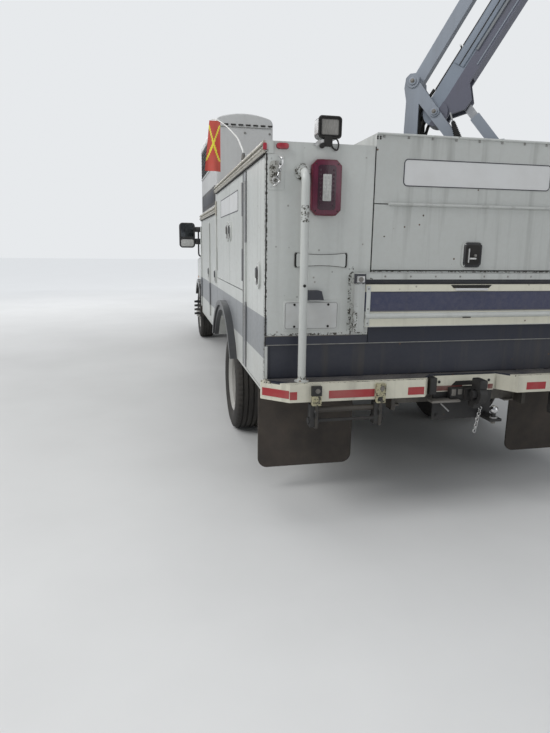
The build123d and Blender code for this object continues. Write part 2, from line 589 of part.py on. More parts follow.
def make_rear():
    """Step bumper, hitch, flaps, grab rails and lamps."""
    outline = ((-STEP_HALF, 0), (-STEP_HALF, -20), (-STEP_REAR_HALF, -STEP_REACH),
               (-RECESS_HALF, -STEP_REACH),
               (-RECESS_INNER_HALF, -30), (RECESS_INNER_HALF, -30), (RECESS_HALF, -STEP_REACH),
               (STEP_REAR_HALF, -STEP_REACH), (STEP_HALF, -20), (STEP_HALF, 0))
    step = prism_z(outline, STEP_BOTTOM, STEP_TOP)
    for side in (-1, 1):
        step -= block(min(side * 320, side * 1070), max(side * 320, side * 1070), -STEP_REACH + STEP_WALL,
                      1,
                      STEP_BOTTOM - 1, STEP_TOP - STEP_WALL)
        step += block(side * RAIL_X - 12, side * RAIL_X + 12, -20, RAIL_REAR_Y, RAIL_BOTTOM,
                      STEP_TOP - STEP_WALL)
        for x in TOW_EYE_XS:
            ear = block(side * x - TOW_EYE_THICKNESS / 2, side * x + TOW_EYE_THICKNESS / 2, TOW_EYE_Y - 32,
                        TOW_EYE_Y + 42, TOW_EYE_Z - 40, STEP_TOP - STEP_WALL - 8)
            step += ear - rod_x(TOW_EYE_RADIUS, side * x - 20, side * x + 20, TOW_EYE_Y, TOW_EYE_Z)
        bar = sorted(side * x for x in TOW_EYE_XS)
        step += rod_x(16, bar[0], bar[1], TOW_EYE_Y, 660)
    put("step_bumper", step)

    hitch = block(-HITCH_HALF, HITCH_HALF, -42, -30.3, HITCH_BOTTOM, HITCH_TOP)
    hitch += block(HOOK_X - HOOK_HALF, HOOK_X + HOOK_HALF, HOOK_Y + 45, -42, HOOK_Z - 50, HOOK_Z + 20)
    hook = rod_x(HOOK_RADIUS, HOOK_X - HOOK_HALF / 2, HOOK_X + HOOK_HALF / 2, HOOK_Y, HOOK_Z)
    hook -= rod_x(HOOK_BORE, HOOK_X - HOOK_HALF, HOOK_X + HOOK_HALF, HOOK_Y, HOOK_Z)
    hook += block(HOOK_X - HOOK_HALF / 2, HOOK_X + HOOK_HALF / 2, HOOK_Y + 5, HOOK_Y + 65, HOOK_Z - 85,
                  HOOK_Z - 50)
    hitch += hook
    hitch += block(BALL_X - 38, BALL_X + 38, BALL_Y - 28, -42, BALL_Z - 65, BALL_Z - 50)
    hitch += rod_z(BALL_RADIUS / 2, BALL_Z - 50, BALL_Z - 20, BALL_X, BALL_Y)
    hitch += Pos(BALL_X, BALL_Y, BALL_Z) * Sphere(BALL_RADIUS)
    put("hitch", hitch)

    for side in (-1, 1):
        x = side * FLAP_X
        flap = block(x - FLAP_WIDTH / 2, x + FLAP_WIDTH / 2, FLAP_Y, FLAP_Y + FLAP_THICKNESS,
                     FLAP_BOTTOM, BODY_BOTTOM - 0.3)
        put("mud_flaps", fillet(flap.edges().filter_by(Axis.Y).group_by(Axis.Z)[0], 60))
        x = side * GRAB_X
        bend = 60
        rail = pipe(((x, -0.3, GRAB_TOP), (x, -GRAB_OFFSET, GRAB_TOP), (x, -GRAB_OFFSET, STEP_TOP + 0.3)),
                    GRAB_RADIUS, bend)
        put("grab_rails", rail + rod_y(42, -10.3, -0.3, x, GRAB_TOP))
        lamp = Pos(side * LAMP_X, -0.3, LAMP_Z) * Rot(90, 0, 0) * extrude(
            chamfer(Rectangle(LAMP_WIDTH, LAMP_HEIGHT).vertices(), LAMP_CORNER), amount=LAMP_PROUD)
        lamp = fillet(lamp.edges().group_by(Axis.Y)[0], 5)
        put("rear_lamps", lamp)

    head = fillet(block(-864 - 62, -864 + 62, -10, 70, TALL_TOP + 26,
                        TALL_TOP + 133).edges().filter_by(Axis.Y), 24)
    put("rear_lamps", head + block(-895, -845, 20, 60, TALL_TOP + 0.3, TALL_TOP + 40))

    x0 = -HALF_WIDTH + 5
    shoulder = HOUSING_CROWN - HOUSING_SHOULDER
    housing = Plane.XZ.offset(-HOUSING_REAR) * (
        Polyline((x0, shoulder), (x0, LOW_TOP + 0.3), (-HOUSING_INNER_X, LOW_TOP + 0.3),
                 (-HOUSING_INNER_X, shoulder))
        + ThreePointArc((-HOUSING_INNER_X, shoulder), ((x0 - HOUSING_INNER_X) / 2, HOUSING_CROWN),
                        (x0, shoulder)))
    housing = extrude(make_face(housing), amount=HOUSING_FRONT - HOUSING_REAR, dir=(0, 1, 0))
    top_edges = [e for e in housing.edges().filter_by(Axis.Y) if e.center().Z > shoulder - 1]
    housing = fillet(top_edges, HOUSING_CORNER)
    end_edges = [e for e in housing.edges() if e.bounding_box().size.Y < 1 and e.center().Z > LOW_TOP + 10]
    housing = fillet(end_edges, HOUSING_EDGE)
    put("equipment_housing", housing)


def cab_form(inset):
    """The closed outer form of the cab, moved inward by an inset."""
    low = CAB_BOTTOM + inset
    side = ((CAB_REAR + inset, low), (COWL_Y - inset, low), (COWL_Y - inset, CAB_BELT - inset * 0.3),
            (WINDSCREEN_TOP_Y - inset * 0.7, CAB_ROOF - inset), (CAB_REAR + 130 + inset, CAB_ROOF - inset),
            (CAB_REAR + inset, CAB_BELT + 60))
    half = CAB_HALF - inset
    roof = ROOF_HALF - inset
    front = ((-half, low), (half, low), (half, CAB_BELT), (roof, CAB_ROOF - inset),
             (-roof, CAB_ROOF - inset), (-half, CAB_BELT))
    form = prism_x(side, -CAB_HALF, CAB_HALF) & prism_y(front, CAB_REAR, COWL_Y)
    above = [e for e in form.edges() if e.center().Z > CAB_BELT + 100]
    return fillet(above, CAB_ROUND - inset / 2)


def door_outline(grow):
    """Side outline of a front door, with the slanted windscreen pillar."""
    g = grow
    return ((DOOR_REAR_Y - g, CAB_BOTTOM + 70 - g), (DOOR_FRONT_Y + g, CAB_BOTTOM + 70 - g),
            (DOOR_FRONT_Y + g, CAB_BELT + 20), (WINDSCREEN_TOP_Y - 30 + 2 * g, CAB_ROOF - 70 + g),
            (DOOR_REAR_Y - g, CAB_ROOF - 70 + g))


def window_outline(grow):
    """Side outline of a front door's window."""
    g = grow
    return ((DOOR_REAR_Y + 70 - g, CAB_BELT + 20 - g), (DOOR_FRONT_Y - 150 + 2 * g, CAB_BELT + 20 - g),
            (WINDSCREEN_TOP_Y - 75 + g, CAB_ROOF - 125 + g), (DOOR_REAR_Y + 70 - g, CAB_ROOF - 125 + g))


def quarter_outline(grow):
    """Side outline of a fixed rear quarter window."""
    g = grow
    return ((CAB_REAR + 250 - g, CAB_BELT + 20 - g), (DOOR_REAR_Y - 90 + g, CAB_BELT + 20 - g),
            (DOOR_REAR_Y - 90 + g, CAB_ROOF - 125 + g), (CAB_REAR + 250 - g, CAB_ROOF - 125 + g))


def screen_outline(grow, front):
    """Front outline of the windscreen, or of the rear window."""
    g = grow
    if front:
        foot, head, foot_z, head_z = 820, 690, CAB_BELT + 50, CAB_ROOF - 75
    else:
        foot, head, foot_z, head_z = 640, 600, CAB_BELT + 90, CAB_ROOF - 130
    return ((-foot - g, foot_z - g), (foot + g, foot_z - g), (head + g, head_z + g),
            (-head - g, head_z + g))


def make_cab():
    """Hollow cab with cut windows, doors cut from the same walls, and glass set in them."""
    shell = cab_form(0) - cab_form(CAB_WALL)
    left_cut = -CAB_HALF - 10
    door_zone = prism_x(door_outline(0), left_cut, -600)
    door = shell & door_zone
    door_window = prism_x(window_outline(0), left_cut, -600)
    head_x = -CAB_HALF - MIRROR_REACH
    post_x = -CAB_HALF - MIRROR_POST
    foot_z = CAB_BELT - 60
    mirror_arm = pipe(((-CAB_HALF + 10, MIRROR_Y, foot_z), (post_x, MIRROR_Y, foot_z),
                       (post_x, MIRROR_Y, foot_z + 430),
                       (head_x + MIRROR_WIDTH - 5, MIRROR_Y, foot_z + 430)), MIRROR_TUBE_RADIUS, 45)
    mirror_arm += rod_x(MIRROR_TUBE_RADIUS, head_x + MIRROR_WIDTH - 5, post_x, MIRROR_Y, foot_z + 220)
    mirror_head = block(head_x, head_x + MIRROR_WIDTH, MIRROR_Y - 45, MIRROR_Y + 40, foot_z + 130,
                        foot_z + 500)
    mirror_head = fillet(mirror_head.edges().filter_by(Axis.Y), 50)
    mirror_head = fillet(mirror_head.edges().group_by(Axis.Y)[-1], 24)
    door = door - door_window + mirror_arm + mirror_head
    cab_hinges = []
    for low, high in CAB_HINGE_SPANS:
        fixed, moving = piano_hinge(low, high)
        place = Pos(-CAB_HALF - HINGE_REACH, DOOR_FRONT_Y + CAB_DOOR_GAP / 2, 0)
        cab_hinges.append(place * fixed)
        door += place * moving
    put_pair("cab_door", door)

    for side in (-1, 1):
        x0, x1 = (left_cut, -600) if side < 0 else (600, -left_cut)
        shell -= prism_x(door_outline(CAB_DOOR_GAP), x0, x1)
        shell -= prism_x(quarter_outline(0), x0, x1)
    shell -= prism_y(screen_outline(0, True), WINDSCREEN_TOP_Y - 100, COWL_Y + 10)
    shell -= prism_y(screen_outline(0, False), CAB_REAR - 10, CAB_REAR + 300)
    inner = CAB_HALF - CAB_WALL - CAB_DOOR_GAP
    shell += block(-inner, inner, CAB_REAR + 20, COWL_Y - 20, CAB_FLOOR - FLOOR_THICKNESS, CAB_FLOOR)
    shell -= block(-ROCKER_INNER, ROCKER_INNER, CAB_REAR - 10, COWL_Y + 10, CAB_BOTTOM - 10,
                   CAB_FLOOR - FLOOR_THICKNESS)
    for half in cab_hinges:
        shell += half + mirror(half, Plane.YZ)
    put("cab_shell", shell)

    pane_layer = cab_form(16) - cab_form(22)
    put("cab_glass", pane_layer & prism_y(screen_outline(-0.3, True), WINDSCREEN_TOP_Y - 100, COWL_Y + 10))
    put("cab_glass", pane_layer & prism_y(screen_outline(-0.3, False), CAB_REAR - 10, CAB_REAR + 200))
    quarter = pane_layer & prism_x(quarter_outline(-0.3), left_cut, -600)
    put("cab_glass", quarter, mirror(quarter, Plane.YZ))
    put_pair("door_glass", pane_layer & prism_x(window_outline(-0.3), left_cut, -600))

    for x in (-430, 430):
        y, z = CAB_REAR + 680, CAB_FLOOR
        seat = prism_x(((y + 130, z + 240), (y + 640, z + 270), (y + 650, z + 170), (y + 610, z + 110),
                        (y + 160, z + 110)),
                       x - 250, x + 250)
        seat += prism_x(((y + 50, z + 230), (y + 190, z + 230), (y + 100, z + 830), (y, z + 830)), x - 240,
                        x + 240)
        seat += block(x - 200, x + 200, y + 160, y + 610, z + RUNNING_GAP, z + 110)
        put("cab_interior", seat)
    bench = block(-800, 800, CAB_REAR + 170, CAB_REAR + 570, CAB_FLOOR + RUNNING_GAP, CAB_FLOOR + 210)
    bench += block(-800, 800, CAB_REAR + 80, CAB_REAR + 210, CAB_FLOOR + 160, CAB_FLOOR + 710)
    put("cab_interior", bench)
    firewall = COWL_Y - CAB_WALL - RUNNING_GAP
    dash_rear = firewall - 339.7
    dash = prism_x(((dash_rear, 1180), (firewall, 1120), (firewall, 1400), (dash_rear + 100, 1415),
                    (dash_rear - 10, 1330)),
                   -CAB_HALF + CAB_WALL + 12, CAB_HALF - CAB_WALL - 12)
    place = Pos(-430, firewall - 519.7, 1375) * Rot(62, 0, 0)
    wheel = place * (Cylinder(212, 24) - Cylinder(184, 26) + Box(390, 46, 14) + Box(46, 390, 14))
    column = place * Pos(0, 0, -110) * Cylinder(34, 220)
    put("cab_interior", dash + column + wheel)


def nose_form(inset):
    """The closed outer form of the front body."""
    front_z = HOOD_FRONT_Z - inset
    side = ((COWL_Y + RUNNING_GAP, 700), (NOSE_FRONT - inset, 700), (NOSE_FRONT - inset, front_z - 40),
            (NOSE_FRONT - 60 - inset, front_z), (COWL_Y + RUNNING_GAP, CAB_BELT - 12 - inset))
    half = NOSE_HALF - inset
    plan = ((-half, COWL_Y + RUNNING_GAP), (-half, NOSE_FRONT - 260), (-half + 110, NOSE_FRONT - inset),
            (half - 110, NOSE_FRONT - inset), (half, NOSE_FRONT - 260), (half, COWL_Y + RUNNING_GAP))
    form = prism_x(side, -half, half) & prism_z(plan, 690, CAB_BELT)
    top = [e for e in form.edges()
           if e.center().Z > front_z - 30 and e.length > 60 and abs(e.center().X) > 700]
    corners = [e for e in form.edges().filter_by(Axis.Z) if e.center().Y > COWL_Y + 100]
    return fillet(top + corners, NOSE_ROUND - inset / 2)


def make_nose():
    """Hood, fenders with wheel arches, grille, lamps and bumper."""
    shell = nose_form(0) - nose_form(NOSE_WALL)
    shell -= block(-NOSE_HALF - 1, NOSE_HALF + 1, COWL_Y - 10, NOSE_FRONT - 330, 690, 780)
    shell -= block(-NOSE_HALF + NOSE_WALL, NOSE_HALF - NOSE_WALL, COWL_Y - 10, NOSE_FRONT - NOSE_WALL, 690,
                   790)
    hood_rear = COWL_Y + CAB_DOOR_GAP
    hood_zone = prism_x(((hood_rear, 1180), (NOSE_FRONT + 10, 1110), (NOSE_FRONT + 10, 1500),
                         (hood_rear, 1500)), -870, 870)
    gap_zone = prism_x(((COWL_Y, 1180 - 7), (NOSE_FRONT + 10, 1110 - 7), (NOSE_FRONT + 10, 1500),
                        (COWL_Y, 1500)), -877, 877)
    hood = shell & hood_zone
    for side in (-1, 1):
        x = side * HOOD_HINGE_X
        notch = HOOD_KNUCKLE_HALF + HOOD_LUG + 6
        front = HOOD_HINGE_Y + HINGE_RADIUS + 6
        hood -= block(x - notch, x + notch, COWL_Y, front, HOOD_HINGE_Z - 60, HOOD_HINGE_Z + 60)
        hood += rod_x(HINGE_RADIUS, x - HOOD_KNUCKLE_HALF, x + HOOD_KNUCKLE_HALF, HOOD_HINGE_Y,
                      HOOD_HINGE_Z)
        hood += block(x - HOOD_KNUCKLE_HALF, x + HOOD_KNUCKLE_HALF, HOOD_HINGE_Y, front + 1,
                      HOOD_HINGE_Z - HINGE_RADIUS, HOOD_HINGE_Z + 4)
        hood -= rod_x(HINGE_PIN_RADIUS + RUNNING_GAP, x - notch, x + notch, HOOD_HINGE_Y, HOOD_HINGE_Z)
    put("hood", hood)
    fenders = shell - gap_zone
    for side in (-1, 1):
        fenders -= rod_x(FRONT_ARCH_RADIUS, side * 900 - 200, side * 900 + 200, FRONT_AXLE_Y, AXLE_Z + 10)
        flare = rod_x(FRONT_ARCH_RADIUS + 60, side * (NOSE_HALF + 10) - 40, side * (NOSE_HALF + 10) + 40,
                      FRONT_AXLE_Y, AXLE_Z + 10)
        flare -= rod_x(FRONT_ARCH_RADIUS, side * (NOSE_HALF + 10) - 41, side * (NOSE_HALF + 10) + 41,
                       FRONT_AXLE_Y, AXLE_Z + 10)
        flare -= block(side * 1020 - 60, side * 1020 + 60, COWL_Y - 80, NOSE_FRONT - 60, -200, 700)
        fenders += flare
    fenders -= block(-620, 620, NOSE_FRONT - 60, NOSE_FRONT + 10, 790, 1090)
    for side in (-1, 1):
        fenders -= block(side * 765 - 110, side * 765 + 110, NOSE_FRONT - 120, NOSE_FRONT + 10, 870, 1070)
        put("grille_and_headlamps", block(side * 765 - 109.7, side * 765 + 109.7, NOSE_FRONT - 110,
                                          NOSE_FRONT - 14, 870.3, 1069.7)
            & nose_form(4))
    # Cowl panel that joins the two fenders behind the hood and carries its hinges
    rear = COWL_Y + RUNNING_GAP
    fenders += block(-NOSE_HALF + NOSE_WALL - 1, NOSE_HALF - NOSE_WALL + 1, rear, rear + COWL_PLATE,
                     HOOD_HINGE_Z - 90, HOOD_HINGE_Z - 45)
    for side in (-1, 1):
        x = side * HOOD_HINGE_X
        for lug_side in (-1, 1):
            inner = x + lug_side * (HOOD_KNUCKLE_HALF + RUNNING_GAP)
            outer = inner + lug_side * HOOD_LUG
            fenders += block(min(inner, outer), max(inner, outer), rear, HOOD_HINGE_Y + HINGE_RADIUS,
                             HOOD_HINGE_Z - 50, HOOD_HINGE_Z + HINGE_RADIUS)
        half = HOOD_KNUCKLE_HALF + HOOD_LUG
        fenders += rod_x(HINGE_PIN_RADIUS, x - half, x + half, HOOD_HINGE_Y, HOOD_HINGE_Z)
    put("fenders", fenders)
    grille = block(-619.7, 619.7, NOSE_FRONT - 24, NOSE_FRONT - 6, 790.3, 1089.7)
    for row in range(4):
        for side in (-1, 1):
            z = 812 + 68 * row
            grille -= block(side * 300 - 280, side * 300 + 280, NOSE_FRONT - 30, NOSE_FRONT, z, z + 44)
    put("grille_and_headlamps", grille)
    y = NOSE_FRONT
    bumper = prism_z(((-1000, y - 260), (-1000, y - 80), (-860, FRONT_BUMPER_FRONT),
                      (860, FRONT_BUMPER_FRONT),
                      (1000, y - 80), (1000, y - 260), (940, y - 260), (940, y - 100), (830,
                                                                                        y + 40), (-830,
                                                                                                  y + 40),
                      (-940, y - 100), (-940, y - 260)), 460, 685)
    for side in (-1, 1):
        bumper += block(side * RAIL_X - 40, side * RAIL_X + 40, RAIL_FRONT_Y, y + 60, 610, 680)
    put("front_bumper", bumper)


def boom_place(shape):
    """Turns a shape drawn in E and Z to the boom's heading over the pedestal."""
    return Pos(0, SLEW_Y, 0) * Rot(0, 0, SLEW_ANGLE) * shape


def boom_point(pin, angle, along, below):
    """A point along a boom from its pin, and below its centre line."""
    a = math.radians(angle)
    return (pin[0] + along * math.cos(a) + below * math.sin(a),
            pin[1] + along * math.sin(a) - below * math.cos(a))


def plate_pair(points, half, thickness, window=None):
    """Two like plates on both sides of the boom's middle plane."""
    pair = []
    for side in (-1, 1):
        y0 = side * half - (thickness if side < 0 else 0)
        plate = prism_y(points, y0, y0 + thickness)
        if window:
            plate -= prism_y(window, y0 - 1, y0 + thickness + 1)
        pair.append(plate)
    return pair[0] + pair[1]


def pin_bar(point, radius, half):
    """A round pin across the boom."""
    return rod_y(radius, -half, half, point[0], point[1])


def cylinder_pair(base, eye, radius, retract, rod_radius, square=False):
    """Barrel and rod of a cylinder between two pins, with room to retract from rest.

    A square pair has box-section covers of twice the radius in width.
    """
    dx, dz = eye[0] - base[0], eye[1] - base[1]
    length = math.hypot(dx, dz)
    tilt = math.degrees(math.atan2(dx, dz))
    along = (Align.CENTER, Align.CENTER, Align.MIN)

    def bar(half, height):
        """A straight bar of the pair's section."""
        if square:
            return Box(2 * half, 2 * half, height, align=along)
        return Cylinder(half, height, align=along)

    mouth = length - retract - ROD_EYE_RADIUS - MOUTH_CLEARANCE
    barrel = Pos(0, 0, BASE_EYE_RADIUS) * bar(radius, mouth - BASE_EYE_RADIUS)
    barrel += Rot(90, 0, 0) * Cylinder(BASE_EYE_RADIUS, 2 * EYE_HALF)
    barrel += Pos(0, 0, BASE_EYE_RADIUS / 2) * Box(1.5 * BASE_EYE_RADIUS, 2 * EYE_HALF, BASE_EYE_RADIUS)
    barrel -= Rot(90, 0, 0) * Cylinder(PIN_RADIUS + RUNNING_GAP, 2 * EYE_HALF + 2)
    barrel -= Pos(0, 0, BORE_START) * bar(rod_radius + RUNNING_GAP, length)
    rod_start = BORE_START + BORE_CLEARANCE + retract
    rod = Pos(0, 0, rod_start) * bar(rod_radius, length - rod_start)
    rod += Pos(0, 0, length) * Rot(90, 0, 0) * Cylinder(ROD_EYE_RADIUS, 2 * EYE_HALF)
    place = Pos(base[0], 0, base[1]) * Rot(0, tilt, 0)
    return place * barrel, place * rod


def make_boom():
    """Pedestal, turntable, two booms, link, knuckle, cylinders and bucket."""
    pedestal = rod_z(PEDESTAL_RADIUS, DECK_TOP, PEDESTAL_TOP, 0, SLEW_Y)
    pedestal += block(-340, 340, SLEW_Y - 340, SLEW_Y + 340, DECK_TOP, DECK_TOP + 30)
    for step in range(8):
        pedestal += Pos(0, SLEW_Y, 0) * Rot(0, 0, 22.5 + 45 * step) * prism_y(
            ((PEDESTAL_RADIUS - 10, DECK_TOP + 30), (330, DECK_TOP + 30),
             (PEDESTAL_RADIUS - 10, DECK_TOP + 380)), -8, 8)
    pedestal += rod_z(RING_RADIUS, PEDESTAL_TOP - 40, PEDESTAL_TOP, 0, SLEW_Y)
    put("pedestal", pedestal)

    ring_z = PEDESTAL_TOP + 0.3
    table = rod_z(RING_RADIUS, ring_z, ring_z + RING_THICKNESS, 0, 0)
    foot = ring_z + RING_THICKNESS
    table += plate_pair(HEAD_OUTLINE + ((300, foot), (-66, foot)), HEAD_HALF, HEAD_PLATE, HEAD_WINDOW)
    table += block(-66, 300, -HEAD_HALF, HEAD_HALF, foot, foot + 24)
    for pin, boss in ((LOWER_PIN, 32), (LINK_PIN, 40), (LIFT_BASE_PIN, 32)):
        table += pin_bar(pin, PIN_RADIUS, HEAD_HALF + HEAD_PLATE + 14)
        for side in (-1, 1):
            y = side * (HEAD_HALF + HEAD_PLATE)
            table += rod_y(boss, min(y, y + side * 8), max(y, y + side * 8), *pin)
    put("turntable", boom_place(table))

    knuckle_pin = boom_point(LOWER_PIN, LOWER_ANGLE, LOWER_LENGTH, 0)
    half_w = LOWER_BOOM_WIDTH / 2
    arm = block(0, LOWER_LENGTH, -half_w, half_w, -LOWER_HEIGHT / 2, LOWER_HEIGHT / 2)
    arm += rod_y(LOWER_HEIGHT / 2, -half_w - 14, half_w + 14, 0, 0)
    arm += rod_y(LOWER_HEIGHT / 2, -half_w - 14, half_w + 14, LOWER_LENGTH, 0)
    for along in (0, LOWER_LENGTH):
        arm -= rod_y(PIN_RADIUS + RUNNING_GAP, -half_w - 20, half_w + 20, along, 0)
    lug = prism_y(((LIFT_EYE_ALONG - 110, -LOWER_HEIGHT / 2), (LIFT_EYE_ALONG - 34, -LIFT_EYE_BELOW - 40),
                   (LIFT_EYE_ALONG + 34, -LIFT_EYE_BELOW - 40), (LIFT_EYE_ALONG + 110,
                                                                 -LOWER_HEIGHT / 2)), -half_w, half_w)
    slot = block(LIFT_EYE_ALONG - 140, LIFT_EYE_ALONG + 140, -LUG_SLOT_HALF, LUG_SLOT_HALF,
                 -LIFT_EYE_BELOW - 50, -LOWER_HEIGHT / 2 + 26)
    arm += lug - slot
    arm -= slot
    place = Pos(LOWER_PIN[0], 0, LOWER_PIN[1]) * Rot(0, -LOWER_ANGLE, 0)
    put("lower_boom", boom_place(place * arm))

    half_w = LINK_WIDTH / 2
    link = block(0, LOWER_LENGTH, -half_w, half_w, -LINK_HEIGHT / 2, LINK_HEIGHT / 2)
    for along in (0, LOWER_LENGTH):
        link += rod_y(48, -HEAD_HALF + 6, HEAD_HALF - 6, along, 0)
    for along in (0, LOWER_LENGTH):
        link -= rod_y(PIN_RADIUS + RUNNING_GAP, -HEAD_HALF, HEAD_HALF, along, 0)
    place = Pos(LINK_PIN[0], 0, LINK_PIN[1]) * Rot(0, -LOWER_ANGLE, 0)
    put("parallel_link", boom_place(place * link))

    link_end = boom_point(LINK_PIN, LOWER_ANGLE, LOWER_LENGTH, 0)
    upper_pin = (knuckle_pin[0] + UPPER_PIN_OFFSET[0], knuckle_pin[1] + UPPER_PIN_OFFSET[1])
    horn_pin = (knuckle_pin[0] + HORN_PIN_OFFSET[0], knuckle_pin[1] + HORN_PIN_OFFSET[1])
    k = knuckle_pin
    outline = ((k[0] - 60, k[1] - 90), (k[0] + 80, k[1] - 90), (k[0] + 110, k[1]), (k[0] + 20, k[1] + 520),
               (k[0] - 150, k[1] + 545), (k[0] - 200, k[1] + 500), (k[0] - 260, k[1] + 290), (k[0] - 790,
                                                                                              k[1] + 110),
               (k[0] - 815, k[1] + 20), (k[0] - 740, k[1] - 25), (k[0] - 260, k[1] + 110))
    knuckle = plate_pair(outline, HEAD_HALF, HEAD_PLATE)
    for pin in (knuckle_pin, link_end, upper_pin, horn_pin):
        knuckle += pin_bar(pin, PIN_RADIUS, HEAD_HALF + HEAD_PLATE + 14)
        for side in (-1, 1):
            y = side * (HEAD_HALF + HEAD_PLATE)
            knuckle += rod_y(50, min(y, y + side * 12), max(y, y + side * 12), *pin)
    put("knuckle", boom_place(knuckle))

    half_w = UPPER_WIDTH / 2
    upper = block(0, UPPER_LENGTH, -half_w, half_w, -UPPER_HEIGHT / 2, UPPER_HEIGHT / 2)
    upper += rod_y(UPPER_HEIGHT / 2, -HEAD_HALF + 6, HEAD_HALF - 6, 0, 0)
    upper -= rod_y(PIN_RADIUS + RUNNING_GAP, -HEAD_HALF, HEAD_HALF, 0, 0)
    slot = block(UPPER_EYE_ALONG - 140, UPPER_EYE_ALONG + 140, -LUG_SLOT_HALF, LUG_SLOT_HALF,
                 UPPER_HEIGHT / 2 - 26, UPPER_EYE_BELOW + 50)
    lug = prism_y(((UPPER_EYE_ALONG - 110, UPPER_HEIGHT / 2), (UPPER_EYE_ALONG - 34, UPPER_EYE_BELOW + 40),
                   (UPPER_EYE_ALONG + 34, UPPER_EYE_BELOW + 40), (UPPER_EYE_ALONG + 110,
                                                                  UPPER_HEIGHT / 2)), -half_w, half_w)
    upper += lug
    upper -= slot
    upper += rod_y(85, -half_w, half_w, UPPER_LENGTH, 0)
    upper -= block(UPPER_LENGTH - 110, UPPER_LENGTH + 100, -half_w + 32, half_w - 32, -100, 100)
    upper += rod_y(20, -half_w, half_w, UPPER_LENGTH, 0)
    place = Pos(upper_pin[0], 0, upper_pin[1]) * Rot(0, -UPPER_ANGLE, 0)
    put("upper_boom", boom_place(place * upper))

    tip = boom_point(upper_pin, UPPER_ANGLE, UPPER_LENGTH, 0)
    x1 = tip[0] - BUCKET_GAP
    x0 = x1 - BUCKET_WIDTH
    top = tip[1] + 260
    bottom = top - BUCKET_DEPTH
    half_w = BUCKET_WIDTH / 2
    shell = prism_y(((x0 + 35, bottom), (x1 - 35, bottom), (x1, top), (x0, top)), -half_w, half_w)
    shell = fillet(shell.edges().filter_by(lambda e: abs(e.tangent_at(0).Z) > 0.9), 70)
    hollow = prism_y(((x0 + 35 + BUCKET_WALL, bottom + BUCKET_WALL),
                      (x1 - 35 - BUCKET_WALL, bottom + BUCKET_WALL),
                      (x1 - BUCKET_WALL, top + 1), (x0 + BUCKET_WALL,
                                                    top + 1)), -half_w + BUCKET_WALL, half_w - BUCKET_WALL)
    bucket = shell - fillet(hollow.edges().filter_by(lambda e: abs(e.tangent_at(0).Z) > 0.9), 58)
    bracket = block(x1 - 24, tip[0] - 10, -26, 26, tip[1] - 45, tip[1] + 45) + rod_y(46, -27, 27, *tip)
    bracket += block(x1 - 24, x1 + 30, -90, 90, tip[1] - 260, tip[1] + 120)
    bracket -= rod_y(PIN_RADIUS + RUNNING_GAP, -40, 40, *tip)
    bracket -= fillet(hollow.edges().filter_by(lambda e: abs(e.tangent_at(0).Z) > 0.9), 58)
    put("bucket", boom_place(bucket + bracket))

    lift_eye = boom_point(LOWER_PIN, LOWER_ANGLE, LIFT_EYE_ALONG, LIFT_EYE_BELOW)
    barrel, rod = cylinder_pair(LIFT_BASE_PIN, lift_eye, LIFT_BARREL_RADIUS, LIFT_RETRACT, LIFT_ROD_RADIUS,
                                True)
    put("lift_cylinder_barrel", boom_place(barrel))
    put("lift_cylinder_rod", boom_place(rod))
    upper_eye = boom_point(upper_pin, UPPER_ANGLE, UPPER_EYE_ALONG, -UPPER_EYE_BELOW)
    barrel, rod = cylinder_pair(horn_pin, upper_eye, UPPER_BARREL_RADIUS, UPPER_RETRACT, UPPER_ROD_RADIUS)
    put("upper_cylinder_barrel", boom_place(barrel))
    put("upper_cylinder_rod", boom_place(rod))


make_frame()
make_axles()
make_wheels()
make_packs()
make_centre()
make_rear()
make_cab()
make_nose()
make_boom()

solids = {name: [s for item in pieces for s in item.solids()] for name, pieces in nodes.items()}
bounds = Compound([s for pieces in solids.values() for s in pieces]).bounding_box()
origin_shift = Vector(-(bounds.min.X + bounds.max.X) / 2, -(bounds.min.Y + bounds.max.Y) / 2, -bounds.min.Z)

os.makedirs("parts", exist_ok=True)
for name, pieces in solids.items():
    moved = [s.moved(Location(origin_shift)) for s in pieces]
    export_step(Compound(moved) if len(moved) > 1 else moved[0], "parts/" + name + ".step")
print(len(solids), "nodes, origin shift", origin_shift)
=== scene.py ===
import json
import math
from functools import reduce

import bmesh
import bpy
from mathutils import Matrix, Vector


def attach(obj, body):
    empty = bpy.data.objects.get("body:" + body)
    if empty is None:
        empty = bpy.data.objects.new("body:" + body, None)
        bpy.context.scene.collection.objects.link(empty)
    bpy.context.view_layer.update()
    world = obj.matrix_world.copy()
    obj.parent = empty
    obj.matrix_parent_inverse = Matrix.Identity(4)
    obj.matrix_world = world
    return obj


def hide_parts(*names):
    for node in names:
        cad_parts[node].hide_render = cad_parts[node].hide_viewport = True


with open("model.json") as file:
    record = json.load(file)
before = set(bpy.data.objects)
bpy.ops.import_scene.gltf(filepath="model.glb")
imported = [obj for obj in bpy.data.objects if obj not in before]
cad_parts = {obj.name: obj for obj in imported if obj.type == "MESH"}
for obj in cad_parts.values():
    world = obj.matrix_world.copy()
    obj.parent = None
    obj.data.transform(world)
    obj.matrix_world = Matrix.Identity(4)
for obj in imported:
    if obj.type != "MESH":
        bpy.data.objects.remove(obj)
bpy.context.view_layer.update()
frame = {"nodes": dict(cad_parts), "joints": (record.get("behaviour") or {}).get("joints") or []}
NODES = frame["nodes"]

